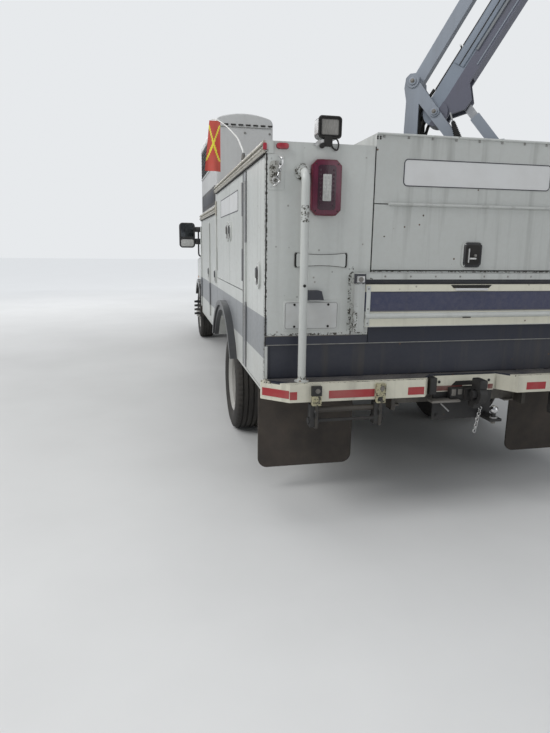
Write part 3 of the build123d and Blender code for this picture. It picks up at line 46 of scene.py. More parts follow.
# Places: x to the right of the truck's centre line, y forward of the body's rear face, z up from the ground
SLEW_Y = 0.8
slew_place = next(j for j in frame["joints"] if j["name"] == "turntable_slew")["pos_m"]
CENTRE_X = slew_place[0]
REAR_Y = slew_place[1] - SLEW_Y
HALF_WIDTH = 1.2
SLEW_ANGLE = math.radians(-38)
LOWER_PIN = (0.13, 2.4)
LINK_PIN = (-0.02, 2.598)
LOWER_ANGLE = math.radians(58)
UPPER_PIN = (2.0997, 6.1504)
UPPER_ANGLE = math.radians(175)
AXLE_Z = 0.41
REAR_AXLE_Y = 1.69
FRONT_AXLE_Y = 6.71
TYRE_RADIUS = 0.41
TYRE_WIDTH = 0.235
RIM_RADIUS = 0.255
SIDES = ((-1, "left"), (1, "right"))
CORNERS = ((-1, -1), (-1, 1), (1, -1), (1, 1))
REAR, FRONT, UP = (0, -1, 0), (0, 1, 0), (0, 0, 1)


def at(x, y, z):
    """A place on the truck, in the row frame."""
    return Vector((CENTRE_X + x, REAR_Y + y, z))


def spot(p):
    """A vector as it is, and plain numbers as a place on the truck."""
    return p if isinstance(p, Vector) else at(*p)


def boom_at(along, across, z):
    """A place in the boom's own plane: along is outward from the slew axis."""
    c, s = math.cos(SLEW_ANGLE), math.sin(SLEW_ANGLE)
    return at(along * c - across * s, SLEW_Y + along * s + across * c, z)


def on_boom(pin, angle, along, above, across):
    """A place on a boom, measured along it from its pin and above its centre line."""
    c, s = math.cos(angle), math.sin(angle)
    return boom_at(pin[0] + along * c - above * s, across, pin[1] + along * s + above * c)


def on_lower(along, above, across):
    """A place on the lower boom."""
    return on_boom(LOWER_PIN, LOWER_ANGLE, along, above, across)


def on_upper(along, above, across):
    """A place on the upper boom."""
    return on_boom(UPPER_PIN, UPPER_ANGLE, along, above, across)


BOOM_OUTWARD = boom_at(1, 0, 0) - boom_at(0, 0, 0)
BOOM_ACROSS = boom_at(0, 1, 0) - boom_at(0, 0, 0)


def add_object(name, data):
    """A new object in the scene."""
    obj = bpy.data.objects.new(name, data)
    bpy.context.scene.collection.objects.link(obj)
    return obj


# Camera at the photograph's viewing angle
CAMERA_PLACE = (-1.778, -2.981, 1.53)
CAMERA_PITCH = math.radians(12.03)
CAMERA_YAW = math.radians(12.12)
CAMERA_ROLL = math.radians(0.71)
FOCAL_PIXELS = 561.7
FRAME_HEIGHT_PIXELS = 733
SENSOR_HEIGHT = 24


def make_camera():
    """A camera that stands behind the truck's left rear corner, looking forward and down."""
    right = Vector((math.cos(CAMERA_YAW), -math.sin(CAMERA_YAW), 0))
    ahead = Vector((math.sin(CAMERA_YAW) * math.cos(CAMERA_PITCH),
                    math.cos(CAMERA_YAW) * math.cos(CAMERA_PITCH),
                    -math.sin(CAMERA_PITCH)))
    up = right.cross(ahead)
    rolled_right = right * math.cos(CAMERA_ROLL) + up * math.sin(CAMERA_ROLL)
    rolled_up = up * math.cos(CAMERA_ROLL) - right * math.sin(CAMERA_ROLL)
    data = bpy.data.cameras.new("camera")
    data.sensor_fit = "VERTICAL"
    data.sensor_height = SENSOR_HEIGHT
    data.lens = FOCAL_PIXELS / FRAME_HEIGHT_PIXELS * SENSOR_HEIGHT
    data.clip_end = 200
    camera = add_object("camera", data)
    turn = Matrix((rolled_right, rolled_up, -ahead)).transposed().to_4x4()
    camera.matrix_world = Matrix.Translation(at(*CAMERA_PLACE)) @ turn
    bpy.context.scene.camera = camera


class Shader:
    """A material under construction, with short calls for its nodes."""

    def __init__(self, name):
        self.material = bpy.data.materials.new(name)
        self.material.use_nodes = True
        self.tree = self.material.node_tree
        self.tree.nodes.clear()
        self.surface = self.node("BsdfPrincipled")
        self.node("OutputMaterial", Surface=self.surface.outputs["BSDF"])
        self.place = self.node("TexCoord").outputs["Object"]

    def put(self, socket, value):
        """Links an output, or sets a constant."""
        if isinstance(value, bpy.types.NodeSocket):
            self.tree.links.new(value, socket)
        else:
            socket.default_value = (*value, 1) if socket.type == "RGBA" else value

    def node(self, kind, **inputs):
        """A new node, with its inputs given by name and an underscore for a space."""
        node = self.tree.nodes.new("ShaderNode" + kind)
        for name, value in inputs.items():
            self.put(node.inputs[name.replace("_", " ")], value)
        return node

    def set(self, name, value):
        """Sets an input of the surface."""
        self.put(self.surface.inputs[name], value)

    def stretched(self, scale):
        """Coordinates scaled differently along each axis."""
        return self.node("Mapping", Vector=self.place, Scale=scale).outputs["Vector"]

    def noise(self, scale, detail=4, roughness=0.55, vector=None):
        """Cloudy noise over the surface."""
        vector = vector or self.place
        return self.node("TexNoise", Vector=vector, Scale=scale, Detail=detail,
                         Roughness=roughness).outputs["Fac"]

    def cells(self, scale):
        """Distance to the nearest of many scattered points."""
        return self.node("TexVoronoi", Vector=self.place, Scale=scale).outputs["Distance"]

    def span(self, value, low, high, to_low=0.0, to_high=1.0):
        """Maps low..high to to_low..to_high, clamped."""
        node = self.node("MapRange", Value=value, From_Min=low, From_Max=high, To_Min=to_low, To_Max=to_high)
        return node.outputs["Result"]

    def math(self, kind, a, b):
        """The result of one math operation on two values."""
        node = self.node("Math")
        node.operation = kind
        self.put(node.inputs[0], a)
        self.put(node.inputs[1], b)
        return node.outputs["Value"]

    def times(self, a, b):
        """The product of two values."""
        return self.math("MULTIPLY", a, b)

    def plus(self, a, b):
        """The sum of two values."""
        return self.math("ADD", a, b)

    def mix(self, share, a, b):
        """Colour a, with a share of colour b over it."""
        node = self.tree.nodes.new("ShaderNodeMix")
        node.data_type = "RGBA"
        self.put(node.inputs["Factor"], share)
        self.put(node.inputs[6], a)
        self.put(node.inputs[7], b)
        return node.outputs[2]

    def axes(self):
        """Coordinates x, y and z as three outputs."""
        return self.node("SeparateXYZ", Vector=self.place).outputs

    def zone(self, low, high):
        """1 inside a box given in truck places."""
        tests = []
        for axis, least, most in zip(self.axes(), at(*low), at(*high)):
            tests += [self.math("GREATER_THAN", axis, least), self.math("LESS_THAN", axis, most)]
        return reduce(self.times, tests)

    def bump(self, height, strength, distance):
        """Gives the surface a relief from a height."""
        node = self.node("Bump", Strength=strength, Distance=distance, Height=height)
        self.set("Normal", node.outputs["Normal"])


DUST = (0.33, 0.3, 0.25)
GRIME = (0.075, 0.068, 0.058)
RUST = (0.11, 0.055, 0.028)
CORROSION = (0.045, 0.04, 0.028)
# Road dust starts at one height and is full at the other, and shows less on paint darker than the limit
DUST_STARTS = 1.25
DUST_FULL = 0.55
DARK_PAINT = 0.06


def weathered(name, colour, rough=0.36, dust=0.35, grime=0.25, specks=0.5, metal=0.0, coat=0.0, areas=(),
              stains=()):
    """Old paint: mottling, vertical streaks, road dust near the ground, chips and rust specks.

    areas lists (low corner, high corner, colour) boxes painted in another colour, and stains lists
    (low corner, high corner) boxes where corrosion breaks through.
    """
    s = Shader(name)
    broad = s.noise(1.3, 3)
    fine = s.noise(42, 5, 0.7)
    base = s.mix(s.span(broad, 0.3, 0.7), tuple(c * 0.93 for c in colour),
                 tuple(min(c * 1.04, 1) for c in colour))
    clean = 1.0
    for low, high, paint in areas:
        mask = s.zone(low, high)
        base = s.mix(mask, base, paint)
        if max(paint) < DARK_PAINT:
            clean = s.times(s.span(mask, 0, 1, 1.0, 0.18), clean)
    streaks = s.noise(1.0, 6, 0.6, s.stretched((13, 13, 0.7)))
    streak_mask = s.times(s.span(streaks, 0.52, 0.78), grime)
    base = s.mix(streak_mask, base, GRIME)
    z = s.axes()[2]
    low_dust = s.times(s.span(z, DUST_STARTS, DUST_FULL), s.span(s.noise(5, 6, 0.65), 0.3, 0.7))
    dust_mask = s.times(s.plus(s.times(low_dust, 0.8), s.span(fine, 0.35, 0.75, 0, 0.35)),
                        s.times(clean, dust))
    base = s.mix(dust_mask, base, DUST)
    chips = s.times(s.span(s.cells(17), 0.115, 0.07), s.math("GREATER_THAN", s.noise(6.5, 2), 0.545))
    base = s.mix(s.times(chips, specks), base, s.mix(s.span(s.noise(9), 0.4, 0.6), CORROSION, RUST))
    rough_patch = s.math("GREATER_THAN", s.noise(58, 5, 0.75), 0.53) if stains else None
    for low, high in stains:
        base = s.mix(s.times(s.zone(low, high), rough_patch), base, CORROSION)
    s.set("Base Color", base)
    s.set("Metallic", metal)
    s.set("Coat Weight", coat)
    roughness = s.plus(s.times(s.plus(dust_mask, streak_mask), 0.35),
                       s.span(fine, 0.3, 0.7, rough - 0.05, rough + 0.07))
    s.set("Roughness", roughness)
    s.bump(s.plus(s.times(broad, 0.6), s.times(fine, 0.12)), 0.12, 0.004)
    return s.material


def rubber(name, colour=(0.028, 0.027, 0.026), dust=0.4, scale=30, brown=(0.16, 0.135, 0.105)):
    """Worn rubber with dust held in its grain."""
    s = Shader(name)
    grain = s.noise(scale, 6, 0.65)
    patches = s.noise(3.2, 4)
    mask = s.times(s.span(s.plus(s.times(grain, 0.5), s.times(patches, 0.6)), 0.38, 0.78), dust)
    s.set("Base Color", s.mix(mask, colour, brown))
    s.set("Roughness", s.span(grain, 0.2, 0.8, 0.72, 0.95))
    s.bump(grain, 0.35, 0.002)
    return s.material


def metal(name, colour=(0.55, 0.55, 0.54), rough=0.34, rust=0.25):
    """Bare or plated steel with a little rust in patches."""
    s = Shader(name)
    patches = s.noise(23, 6, 0.65)
    rusty = s.times(s.span(patches, 0.5, 0.72), rust)
    s.set("Base Color", s.mix(rusty, colour, RUST))
    s.set("Metallic", s.span(rusty, 0, 0.8, 1, 0.25))
    s.set("Roughness", s.span(patches, 0.3, 0.8, rough, min(rough + 0.3, 1)))
    s.bump(patches, 0.12, 0.001)
    return s.material


def plastic(name, colour, rough=0.4, dust=0.2, grain=220):
    """Moulded plastic with a fine grain and some dust."""
    s = Shader(name)
    fine = s.noise(grain, 3)
    mask = s.times(s.span(s.noise(7, 5), 0.42, 0.72), dust)
    s.set("Base Color", s.mix(mask, colour, DUST))
    s.set("Roughness", s.span(mask, 0, 0.5, rough, min(rough + 0.3, 1)))
    s.bump(fine, 0.1, 0.0006)
    return s.material


def boom_paint_and_shade(name, light, shade):
    """Grey boom paint with painted shade: the lit grey above the lower boom's middle line and a painted shade
    colour below it.
    """
    s = Shader(name)
    x, y, z = s.axes()
    pin = boom_at(LOWER_PIN[0], 0, LOWER_PIN[1])
    up = on_lower(0, 1, 0) - pin
    height = s.plus(s.plus(s.times(x, up.x), s.times(y, up.y)), s.times(z, up.z))
    broad, fine = s.noise(2.2, 5), s.noise(38, 5, 0.7)
    # Painted shade: the shade colour below the middle line, the lit colour above it.
    base = s.mix(s.math("GREATER_THAN", height, pin.dot(up) - 0.006), shade, light)
    scuffs = s.times(s.span(s.noise(1.0, 6, 0.7, s.stretched((9, 9, 2.4))), 0.55, 0.7), 0.45)
    base = s.mix(scuffs, base, GRIME)
    s.set("Base Color", s.mix(s.times(s.span(broad, 0.35, 0.7), 0.25), base, tuple(c * 0.7 for c in light)))
    s.set("Roughness", s.span(fine, 0.3, 0.7, 0.42, 0.56))
    s.bump(fine, 0.15, 0.001)
    return s.material


def glass(name, colour=(0.05, 0.06, 0.065), alpha=0.5):
    """Tinted glass, partly see-through."""
    s = Shader(name)
    s.set("Base Color", colour)
    s.set("Roughness", 0.05)
    s.set("Alpha", alpha)
    s.set("IOR", 1.5)
    return s.material


def lens(name, colour, rough=0.22):
    """Clear-coated moulded lamp lens with fine ribs."""
    s = Shader(name)
    ribs = s.noise(1.0, 2, 0.5, s.stretched((260, 40, 40)))
    s.set("Base Color", s.mix(s.span(ribs, 0.35, 0.65), tuple(c * 0.72 for c in colour), colour))
    s.set("Roughness", rough)
    s.set("Coat Weight", 0.2)
    s.bump(ribs, 0.25, 0.001)
    return s.material


WHITE = (0.55, 0.568, 0.545)
CREAM = (0.7, 0.68, 0.56)
NAVY = (0.016, 0.02, 0.036)
STRIPE = (0.22, 0.235, 0.25)
TAPE_RED = (0.36, 0.025, 0.03)
BLUE_BAND = (0.03, 0.036, 0.085)
BOOM_GREY = (0.255, 0.285, 0.33)
TRIM_BLACK = (0.022, 0.022, 0.024)
ARCH_BLACK = (0.04, 0.043, 0.047)
RAIL_BEIGE = (0.43, 0.41, 0.35)
PILLAR_GREY = (0.27, 0.275, 0.28)
# Painted shade colour for the underside of the step.
UNDERSIDE_SHADE_BROWN = (0.042, 0.036, 0.029)
# A box that holds the whole truck below the boom
EVERYWHERE = ((-3, -1, 0), (3, 9, 4))


def both(low, high, *paint):
    """A box on the right side and its mirror on the left, for areas and stains."""
    (x0, y0, z0), (x1, y1, z1) = low, high
    return [((x0, y0, z0), (x1, y1, z1), *paint), ((-x1, y0, z0), (-x0, y1, z1), *paint)]


side_stripe = both((1.185, -0.02, 0.924), (1.3, 4.1, 1.154), STRIPE)
# Painted shade: dark brown under the step and in strips behind its brackets.
step_underside_shade = [((-1.3, -0.2, 0.3), (1.3, 0.1, 0.703), UNDERSIDE_SHADE_BROWN)]
for x in (0.57, 0.939):
    step_underside_shade += both((x - 0.014, -0.2, 0.5), (x + 0.014, -0.1408, 0.81), UNDERSIDE_SHADE_BROWN)
M = {
    "body": weathered("body_white", WHITE, areas=[
        *side_stripe, ((-1.195, -0.02, 0.7), (1.195, 0.05, 1.05), NAVY),
        *both((1.2025, 0.85, 0.7), (1.3, 2.46, 1.15), ARCH_BLACK),
        *both((1.2025, -0.02, 1.8), (1.25, 4.06, 2.07), RAIL_BEIGE),
        *both((1.16, 0.6, 0.74), (1.215, 0.75, 1.955), PILLAR_GREY)], stains=[
            ((-1.2, -0.03, 1.045), (-0.6, 0.02, 1.064)), ((-0.73, -0.03, 1.05), (-0.7, 0.02, 1.43)),
            ((-1.21, -0.01, 0.75), (-1.188, 0.016, 2.02)), ((-1.22, 0.61, 1.02), (-1.19, 0.66, 1.2))]),
    "corroded": weathered("corroded_paint", (0.4, 0.4, 0.37), stains=[EVERYWHERE]),
    "door": weathered("door_white", WHITE, areas=side_stripe),
    "plain": weathered("plain_white", WHITE),
    "grab": weathered("grab_rail_paint", WHITE, stains=[
        ((-1.03, -0.13, 1.655), (-0.98, -0.06, 1.74)), ((-1.03, -0.13, 0.8), (-0.98, -0.06, 0.84)),
        ((-1.06, -0.05, 1.87), (-0.95, 0.01, 1.96))]),
    "cream": weathered("cream_paint", CREAM, specks=0.9),
    "gate": weathered("tailgate_paint", WHITE, areas=[
        ((-0.66, -0.1, 1.186), (0.66, 0.01, 1.293), BLUE_BAND),
        ((-0.66, -0.1, 1.293), (0.66, 0.01, 1.34), CREAM),
        *both((0.657, -0.12, 1.335), (0.727, 0.01, 1.42), TRIM_BLACK)]),
    "bumper": weathered("bumper_paint", CREAM, grime=0.35, specks=1.0, areas=[
        ((-1.18, -0.1, 0.8), (1.18, 0.02, 0.83), NAVY), *step_underside_shade], stains=[
            ((-1.22, -0.1345, 0.797), (1.22, -0.122, 0.81)), ((-1.23, -0.1, 0.797), (-1.17, 0.03, 0.81))]),
    "cab": weathered("cab_white", WHITE, rough=0.28, grime=0.12, specks=0.25, coat=0.4, areas=[
        *both((1.02, 5.7, 1.25), (1.5, 6.05, 1.96), TRIM_BLACK),
        *both((1.012, 6.05, 0.6), (1.088, 7.5, 1.06), TRIM_BLACK)]),
    "housing": weathered("housing_white", (0.56, 0.565, 0.56), grime=0.12, specks=0.15),
    "boom": weathered("boom_grey", BOOM_GREY, rough=0.42, grime=0.22, specks=0.5, dust=0.15),
    # Lower boom grey with painted shade on its lower half.
    "boom_arm": boom_paint_and_shade("boom_arm_grey_and_painted_shade", (0.215, 0.25, 0.3), (0.105, 0.105, 0.14)),
    "box": weathered("box_white", tuple(c * 0.9 for c in WHITE), grime=0.45, specks=1.0, stains=[
        ((-0.72, -0.07, 1.07), (-0.69, 0.02, 1.23)), ((-0.72, -0.07, 1.335), (-0.6, 0.02, 1.37)),
        ((0.69, -0.07, 1.07), (0.72, 0.02, 1.23)), ((-0.62, -0.03, 1.395), (0.6, 0.02, 1.408))]),
    "navy": weathered("navy_panel", NAVY, rough=0.45, dust=0.1, grime=0.7, specks=0.9),
    "pitch": weathered("hitch_black", (0.01, 0.01, 0.011), rough=0.5, dust=0.08, grime=0.2, specks=0.3),
    "pedestal": weathered("pedestal_grey", BOOM_GREY, rough=0.45),
    "lamp_body": weathered("lamp_body", (0.115, 0.008, 0.024), rough=0.2, dust=0.15, grime=0.2, specks=0.1,
                           areas=[((-1.0, -0.1, 2.05), (1.0, 0.2, 2.25), (0.07, 0.075, 0.08))]),
    "black": weathered("chassis_black", (0.028, 0.028, 0.03), rough=0.55, dust=0.6, grime=0.1, specks=0.6),
    "deck": weathered("deck_paint", (0.3, 0.3, 0.29), rough=0.6, dust=0.5, grime=0.5, specks=1.0, areas=[
        ((-0.62, -0.02, 0.79), (0.62, 0.03, 1.1), NAVY)]),
    "tread": weathered("tread_paint", (0.03, 0.033, 0.045), rough=0.5, dust=0.55, grime=0.3, specks=1.0),
    "bucket": weathered("bucket_gelcoat", (0.66, 0.66, 0.63), rough=0.3, grime=0.15, specks=0.2),
    "wheel": weathered("wheel_paint", (0.5, 0.5, 0.48), rough=0.45, dust=0.5, grime=0.3, specks=0.8),
    "tyre": rubber("tyre_rubber", dust=0.22),
    "flap": rubber("flap_rubber", (0.035, 0.03, 0.026), 0.55, 12, (0.13, 0.105, 0.085)),
    "hose": rubber("hose_rubber", (0.018, 0.018, 0.018), 0.12, 80),
    "steel": metal("bright_steel"),
    "chrome": metal("chrome", (0.75, 0.75, 0.75), 0.08, 0.05),
    "rusty": metal("rusty_steel", (0.3, 0.22, 0.13), 0.6, 1.0),
    "bracket": weathered("bracket_paint", (0.42, 0.39, 0.24), stains=[EVERYWHERE]),
    "iron": weathered("cast_iron", (0.05, 0.048, 0.045), rough=0.6, dust=0.3, metal=0.5),
    "trim": plastic("dark_trim", TRIM_BLACK),
    "grey_trim": plastic("grey_trim", (0.1, 0.105, 0.11), 0.5, 0.35),
    "gasket": rubber("gasket_rubber", (0.012, 0.012, 0.012), 0.15, 90),
    "glass": glass("window_glass"),
    "mirror": metal("mirror_glass", (0.075, 0.08, 0.085), 0.06, 0.0),
    "red": lens("red_lens", (0.125, 0.009, 0.036)),
    "marker": lens("marker_lens", (0.42, 0.03, 0.05)),
    "dark_red": lens("dark_red_lens", (0.04, 0.005, 0.018)),
    "clear": lens("clear_lens", (0.52, 0.52, 0.5)),
    "lamp_face": lens("work_lamp_lens", (0.26, 0.25, 0.23), rough=0.3),
    "amber": lens("amber_lens", (0.55, 0.18, 0.01)),
    "tape": plastic("reflective_tape", TAPE_RED, 0.35, 0.25, 900),
    "faded_tape": plastic("faded_tape", (0.16, 0.035, 0.03), 0.5, 0.7, 300),
    "sign": plastic("blank_sign", (0.64, 0.645, 0.64), 0.4, 0.12),
    "plate": plastic("blank_plate", (0.55, 0.56, 0.55), 0.35, 0.25),
    "badge": metal("blank_badge", (0.3, 0.3, 0.285), 0.5, 0.3),
    # Dark ink for outlines and lamp bodies, also used as painted shade in the gap behind the tailgate.
    "ink_and_shade": plastic("outline_ink_and_painted_shade", (0.03, 0.033, 0.045), 0.45, 0.1),
    "fabric": rubber("seat_fabric", (0.055, 0.056, 0.06), 0.15, 400, (0.16, 0.16, 0.16)),
    "orange": plastic("flag_orange", (0.5, 0.062, 0.042), 0.65, 0.15, 500),
    "yellow": plastic("flag_tape", (0.72, 0.66, 0.05), 0.4, 0.1, 500),
    "rail": weathered("rail_beige", RAIL_BEIGE, rough=0.5, grime=0.5, specks=1.0),
    "worn": weathered("worn_steel", (0.2, 0.19, 0.175), rough=0.55, grime=0.6, specks=1.0, metal=0.35),
    "pillar": plastic("pillar_grey", (0.3, 0.31, 0.32), 0.5, 0.5),
    "mesh": plastic("mesh_grey", (0.2, 0.21, 0.22), 0.6, 0.3),
    "groove": plastic("groove_shade", (0.17, 0.185, 0.2), 0.6, 0.2),
    "whip": plastic("whip_rod", (0.75, 0.75, 0.72), 0.35, 0.1),
}

# Carried-over nodes with each finish, by the start of their names; the others are chassis black
NODE_LOOKS = {
    "body": "side_pack", "door": "rear_door middle forward", "deck": "deck", "box": "centre_box rear_hatch",
    "gate": "tailgate", "bumper": "step_bumper", "pitch": "hitch", "flap": "mud_flaps", "grab": "grab_rails",
    "lamp_body": "rear_lamps", "housing": "equipment_housing", "cab": "cab_shell cab_door hood fenders",
    "glass": "cab_glass door_glass", "fabric": "cab_interior", "trim": "grille", "grey_trim": "front_bumper",
    "pedestal": "pedestal", "boom_arm": "lower_boom", "bucket": "bucket", "iron": "engine_block",
    "boom": "turntable parallel_link knuckle upper_boom lift_cylinder_barrel upper_cylinder_barrel",
    "chrome": "lift_cylinder_rod upper_cylinder_rod", "wheel": "front_rim rear_rim",
    "tyre": "front_tyre rear_tyre",
}


def dress_nodes():
    """Gives every carried-over node its finish."""
    for name, obj in NODES.items():
        look = next((k for k, starts in NODE_LOOKS.items() if name.startswith(tuple(starts.split()))),
                    "black")
        obj.data.materials.clear()
        obj.data.materials.append(M[look])


def round_edges(part, edges, width):
    """Rounds edges off by a width."""
    bmesh.ops.bevel(part, geom=edges, offset=width, segments=2, affect="EDGES", profile=0.6)


class Piece:
    """A mesh piece that is built up from simple forms, with one material each."""

    def __init__(self, name):
        self.name = name
        self.mesh = bmesh.new()
        self.looks = []

    def take(self, part, look, smooth=True):
        """Moves the faces of another bmesh into this piece."""
        if look not in self.looks:
            self.looks.append(look)
        index = self.looks.index(look)
        copies = {v: self.mesh.verts.new(v.co) for v in part.verts}
        for face in part.faces:
            try:
                made = self.mesh.faces.new([copies[v] for v in face.verts])
            except ValueError:
                continue
            made.material_index = index
            made.smooth = smooth
        part.free()

    def box(self, low, high, look, bevel=0.0, turn=None):
        """A box between two places, with rounded edges."""
        part = bmesh.new()
        bmesh.ops.create_cube(part, size=1)
        low, high = spot(low), spot(high)
        bmesh.ops.scale(part, vec=[abs(v) for v in high - low], verts=part.verts)
        if bevel:
            round_edges(part, list(part.edges), bevel)
        if turn:
            bmesh.ops.rotate(part, cent=(0, 0, 0), matrix=turn, verts=part.verts)
        bmesh.ops.translate(part, vec=(low + high) / 2, verts=part.verts)
        self.take(part, look)

    def slab(self, x, half, y, z, look, bevel=0.0):
        """A box centred on x, with its lowest and highest y and z given as pairs."""
        self.box((x - half, y[0], z[0]), (x + half, y[1], z[1]), look, bevel)

    def rod(self, start, end, radius, look, sides=16, end_radius=None, bevel=0.0):
        """A round bar or cone between two places."""
        part = bmesh.new()
        start, end = spot(start), spot(end)
        run = end - start
        bmesh.ops.create_cone(part, cap_ends=True, segments=sides, radius1=radius,
                              radius2=radius if end_radius is None else end_radius, depth=run.length)
        if bevel:
            rims = [e for e in part.edges if abs(e.verts[0].co.z - e.verts[1].co.z) < 1e-6]
            round_edges(part, rims, bevel)
        turn = Vector(UP).rotation_difference(run.normalized()).to_matrix()
        bmesh.ops.rotate(part, cent=(0, 0, 0), matrix=turn, verts=part.verts)
        bmesh.ops.translate(part, vec=(start + end) / 2, verts=part.verts)
        self.take(part, look)

    def ball(self, centre, radius, look, squash=(1, 1, 1)):
        """A ball, or a flattened one."""
        part = bmesh.new()
        bmesh.ops.create_uvsphere(part, u_segments=20, v_segments=12, radius=radius)
        bmesh.ops.scale(part, vec=squash, verts=part.verts)
        bmesh.ops.translate(part, vec=spot(centre), verts=part.verts)
        self.take(part, look)

    def plate(self, outline, lift, depth, look, bevel=0.0):
        """An outline of places, thickened along the vector lift by depth."""
        part = bmesh.new()
        face = part.faces.new([part.verts.new(spot(p)) for p in outline])
        made = bmesh.ops.extrude_face_region(part, geom=[face])
        moved = [v for v in made["geom"] if isinstance(v, bmesh.types.BMVert)]
        bmesh.ops.translate(part, vec=Vector(lift).normalized() * depth, verts=moved)
        bmesh.ops.recalc_face_normals(part, faces=part.faces)
        if bevel:
            top = set(moved)
            rims = [e for e in part.edges if e.verts[0] in top and e.verts[1] in top]
            round_edges(part, rims, bevel)
        self.take(part, look)

    def tube(self, points, radius, look, sides=10, steps=8, closed=False):
        """A smooth tube through places."""
        line = smooth_line(points, steps)
        sweep_round(self, line, radius, look, sides, closed)

    def ring(self, centre, axis, radius, thick, look, sides=24, tube_sides=8):
        """A round ring of wire about an axis."""
        centre, axis = spot(centre), Vector(axis).normalized()
        u = axis.orthogonal().normalized()
        v = axis.cross(u)
        line = [centre + u * a + v * b for a, b in circle(sides, radius)]
        sweep_round(self, line, thick, look, tube_sides, True)

    def done(self, body, slot, *replaced):
        """Turns the piece into an object that rides on a body."""
        data = bpy.data.meshes.new(self.name)
        self.mesh.to_mesh(data)
        self.mesh.free()
        for look in self.looks:
            data.materials.append(M[look])
        data.set_sharp_from_angle(angle=math.radians(34))
        obj = add_object(self.name, data)
        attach(obj, body)
        if replaced:
            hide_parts(*replaced)
        return obj


def smooth_line(points, steps):
    """Catmull-Rom points through places."""
    pts = [spot(p) for p in points]
    if len(pts) < 3:
        return pts
    pts = [pts[0] * 2 - pts[1]] + pts + [pts[-1] * 2 - pts[-2]]
    line = []
    for i in range(1, len(pts) - 2):
        a, b, c, d = pts[i - 1:i + 3]
        for k in range(steps):
            t = k / steps
            line.append(0.5 * ((2 * b) + (c - a) * t + (2 * a - 5 * b + 4 * c - d) * t * t
                               + (3 * b - a - 3 * c + d) * t * t * t))
    line.append(pts[-2])
    return line


def sweep_round(piece, line, radius, look, sides, closed):
    """Sweeps a circle along a line of places."""
    part = bmesh.new()
    line = [spot(p) for p in line]
    rings, normal, count = [], None, len(line)
    for i, p in enumerate(line):
        ahead = line[(i + 1) % count] if closed or i + 1 < count else p
        behind = line[i - 1] if closed or i > 0 else p
        tangent = (ahead - behind).normalized()
        normal = tangent.orthogonal() if normal is None else normal - tangent * normal.dot(tangent)
        normal.normalize()
        side = tangent.cross(normal)
        r = radius(i / max(count - 1, 1)) if callable(radius) else radius
        rings.append([part.verts.new(p + normal * a + side * b) for a, b in circle(sides, r)])
    pairs = list(zip(rings, rings[1:])) + ([(rings[-1], rings[0])] if closed else [])
    for first, second in pairs:
        for k in range(sides):
            part.faces.new((first[k], first[(k + 1) % sides], second[(k + 1) % sides], second[k]))
    if not closed:
        part.faces.new(list(reversed(rings[0])))
        part.faces.new(rings[-1])
    piece.take(part, look)


GROOVE_DEPTH = 0.013
TREAD_PITCHES = 58
GROOVE_PLACES = (-0.062, -0.022, 0.022, 0.062)
NUT_CIRCLE = 0.1125


def tyre_section():
    """Section of a tyre from one bead over the tread to the other: offset, radius, tread part."""
    half = TYRE_WIDTH / 2
    wall = ((0.036, -0.006), (0.02, 0.01), (0.006, 0.04), (0.001, 0.066), (0.0005, 0.088), (0.004, 0.112))
    side = [(-half + x, RIM_RADIUS + r, "wall") for x, r in wall]
    side += [(-half + 0.01, TYRE_RADIUS - 0.026, "wall")]
    side += [(-half + x, TYRE_RADIUS - r, "shoulder") for x, r in ((0.013, 0.014), (0.024, 0.0035))]
    groove = ((-0.0065, 0, "rib"), (-0.004, GROOVE_DEPTH, "groove"), (0.004, GROOVE_DEPTH, "groove"),
              (0.0065, 0, "rib"))
    tread = [(place + x, TYRE_RADIUS - deep, kind) for place in GROOVE_PLACES for x, deep, kind in groove]
    return side + tread + [(-x, r, kind) for x, r, kind in reversed(side)]


def add_tyre(piece, x_centre, axle_y):
    """A tyre with four grooves and cut shoulders, turned about its axle."""
    part = bmesh.new()
    section = tyre_section()
    count = TREAD_PITCHES * 4
    rings = []
    for k, (c, s) in enumerate(circle(count, 1.0)):
        ring = []
        for x, r, kind in section:
            if kind == "shoulder" and k % 4 == 0:
                r -= 0.008
            if kind == "rib" and k % 8 == 0 and abs(x) > 0.05:
                r -= 0.004
            ring.append(part.verts.new(at(x_centre + x, axle_y + r * c, AXLE_Z + r * s)))
        rings.append(ring)
    for k in range(count):
        first, second = rings[k], rings[(k + 1) % count]
        for i in range(len(section) - 1):
            part.faces.new((first[i], first[i + 1], second[i + 1], second[i]))
        part.faces.new((first[-1], first[0], second[0], second[-1]))
    bmesh.ops.recalc_face_normals(part, faces=part.faces)
    piece.take(part, "tyre")


def make_wheels():
    """Treaded tyres, wheel nuts and hub caps."""
    for side, label in SIDES:
        front = Piece("front_tyre_tread_" + label)
        add_tyre(front, side * 0.925, FRONT_AXLE_Y)
        front.done("front_wheel_" + label, "tyre_rubber", "front_tyre_" + label)
        rear = Piece("rear_tyre_tread_" + label)
        for x in (1.05, 0.778):
            add_tyre(rear, side * x, REAR_AXLE_Y)
        rear.done("rear_wheel_" + label, "tyre_rubber", "rear_tyre_" + label)
        for body, y, face, hub, reach in (("front_wheel_", FRONT_AXLE_Y, 0.987, 0.075, 1.05),
                                          ("rear_wheel_", REAR_AXLE_Y, 0.928, 0.08, 1.06)):
            nuts = Piece(body + "nuts_" + label)
            for a, b in circle(10, NUT_CIRCLE):
                c = (y + a, AXLE_Z + b)
                nuts.rod((side * face, *c), (side * (face + 0.022), *c), 0.016, "steel", 6, bevel=0.002)
                nuts.rod((side * (face + 0.02), *c), (side * (face + 0.034), *c), 0.01, "rusty", 10)
            nuts.rod((side * (reach - 0.002), y, AXLE_Z), (side * (reach + 0.028), y, AXLE_Z), hub, "wheel",
                     28, hub * 0.8, 0.004)
            for a, b in circle(8, hub * 0.62, math.pi / 8):
                c = (y + a, AXLE_Z + b)
                nuts.rod((side * (reach + 0.026), *c), (side * (reach + 0.034), *c), 0.007, "steel", 6)
            nuts.done(body + label, "bright_steel")


SURROUND_GREY = (0.8, 0.82, 0.84)
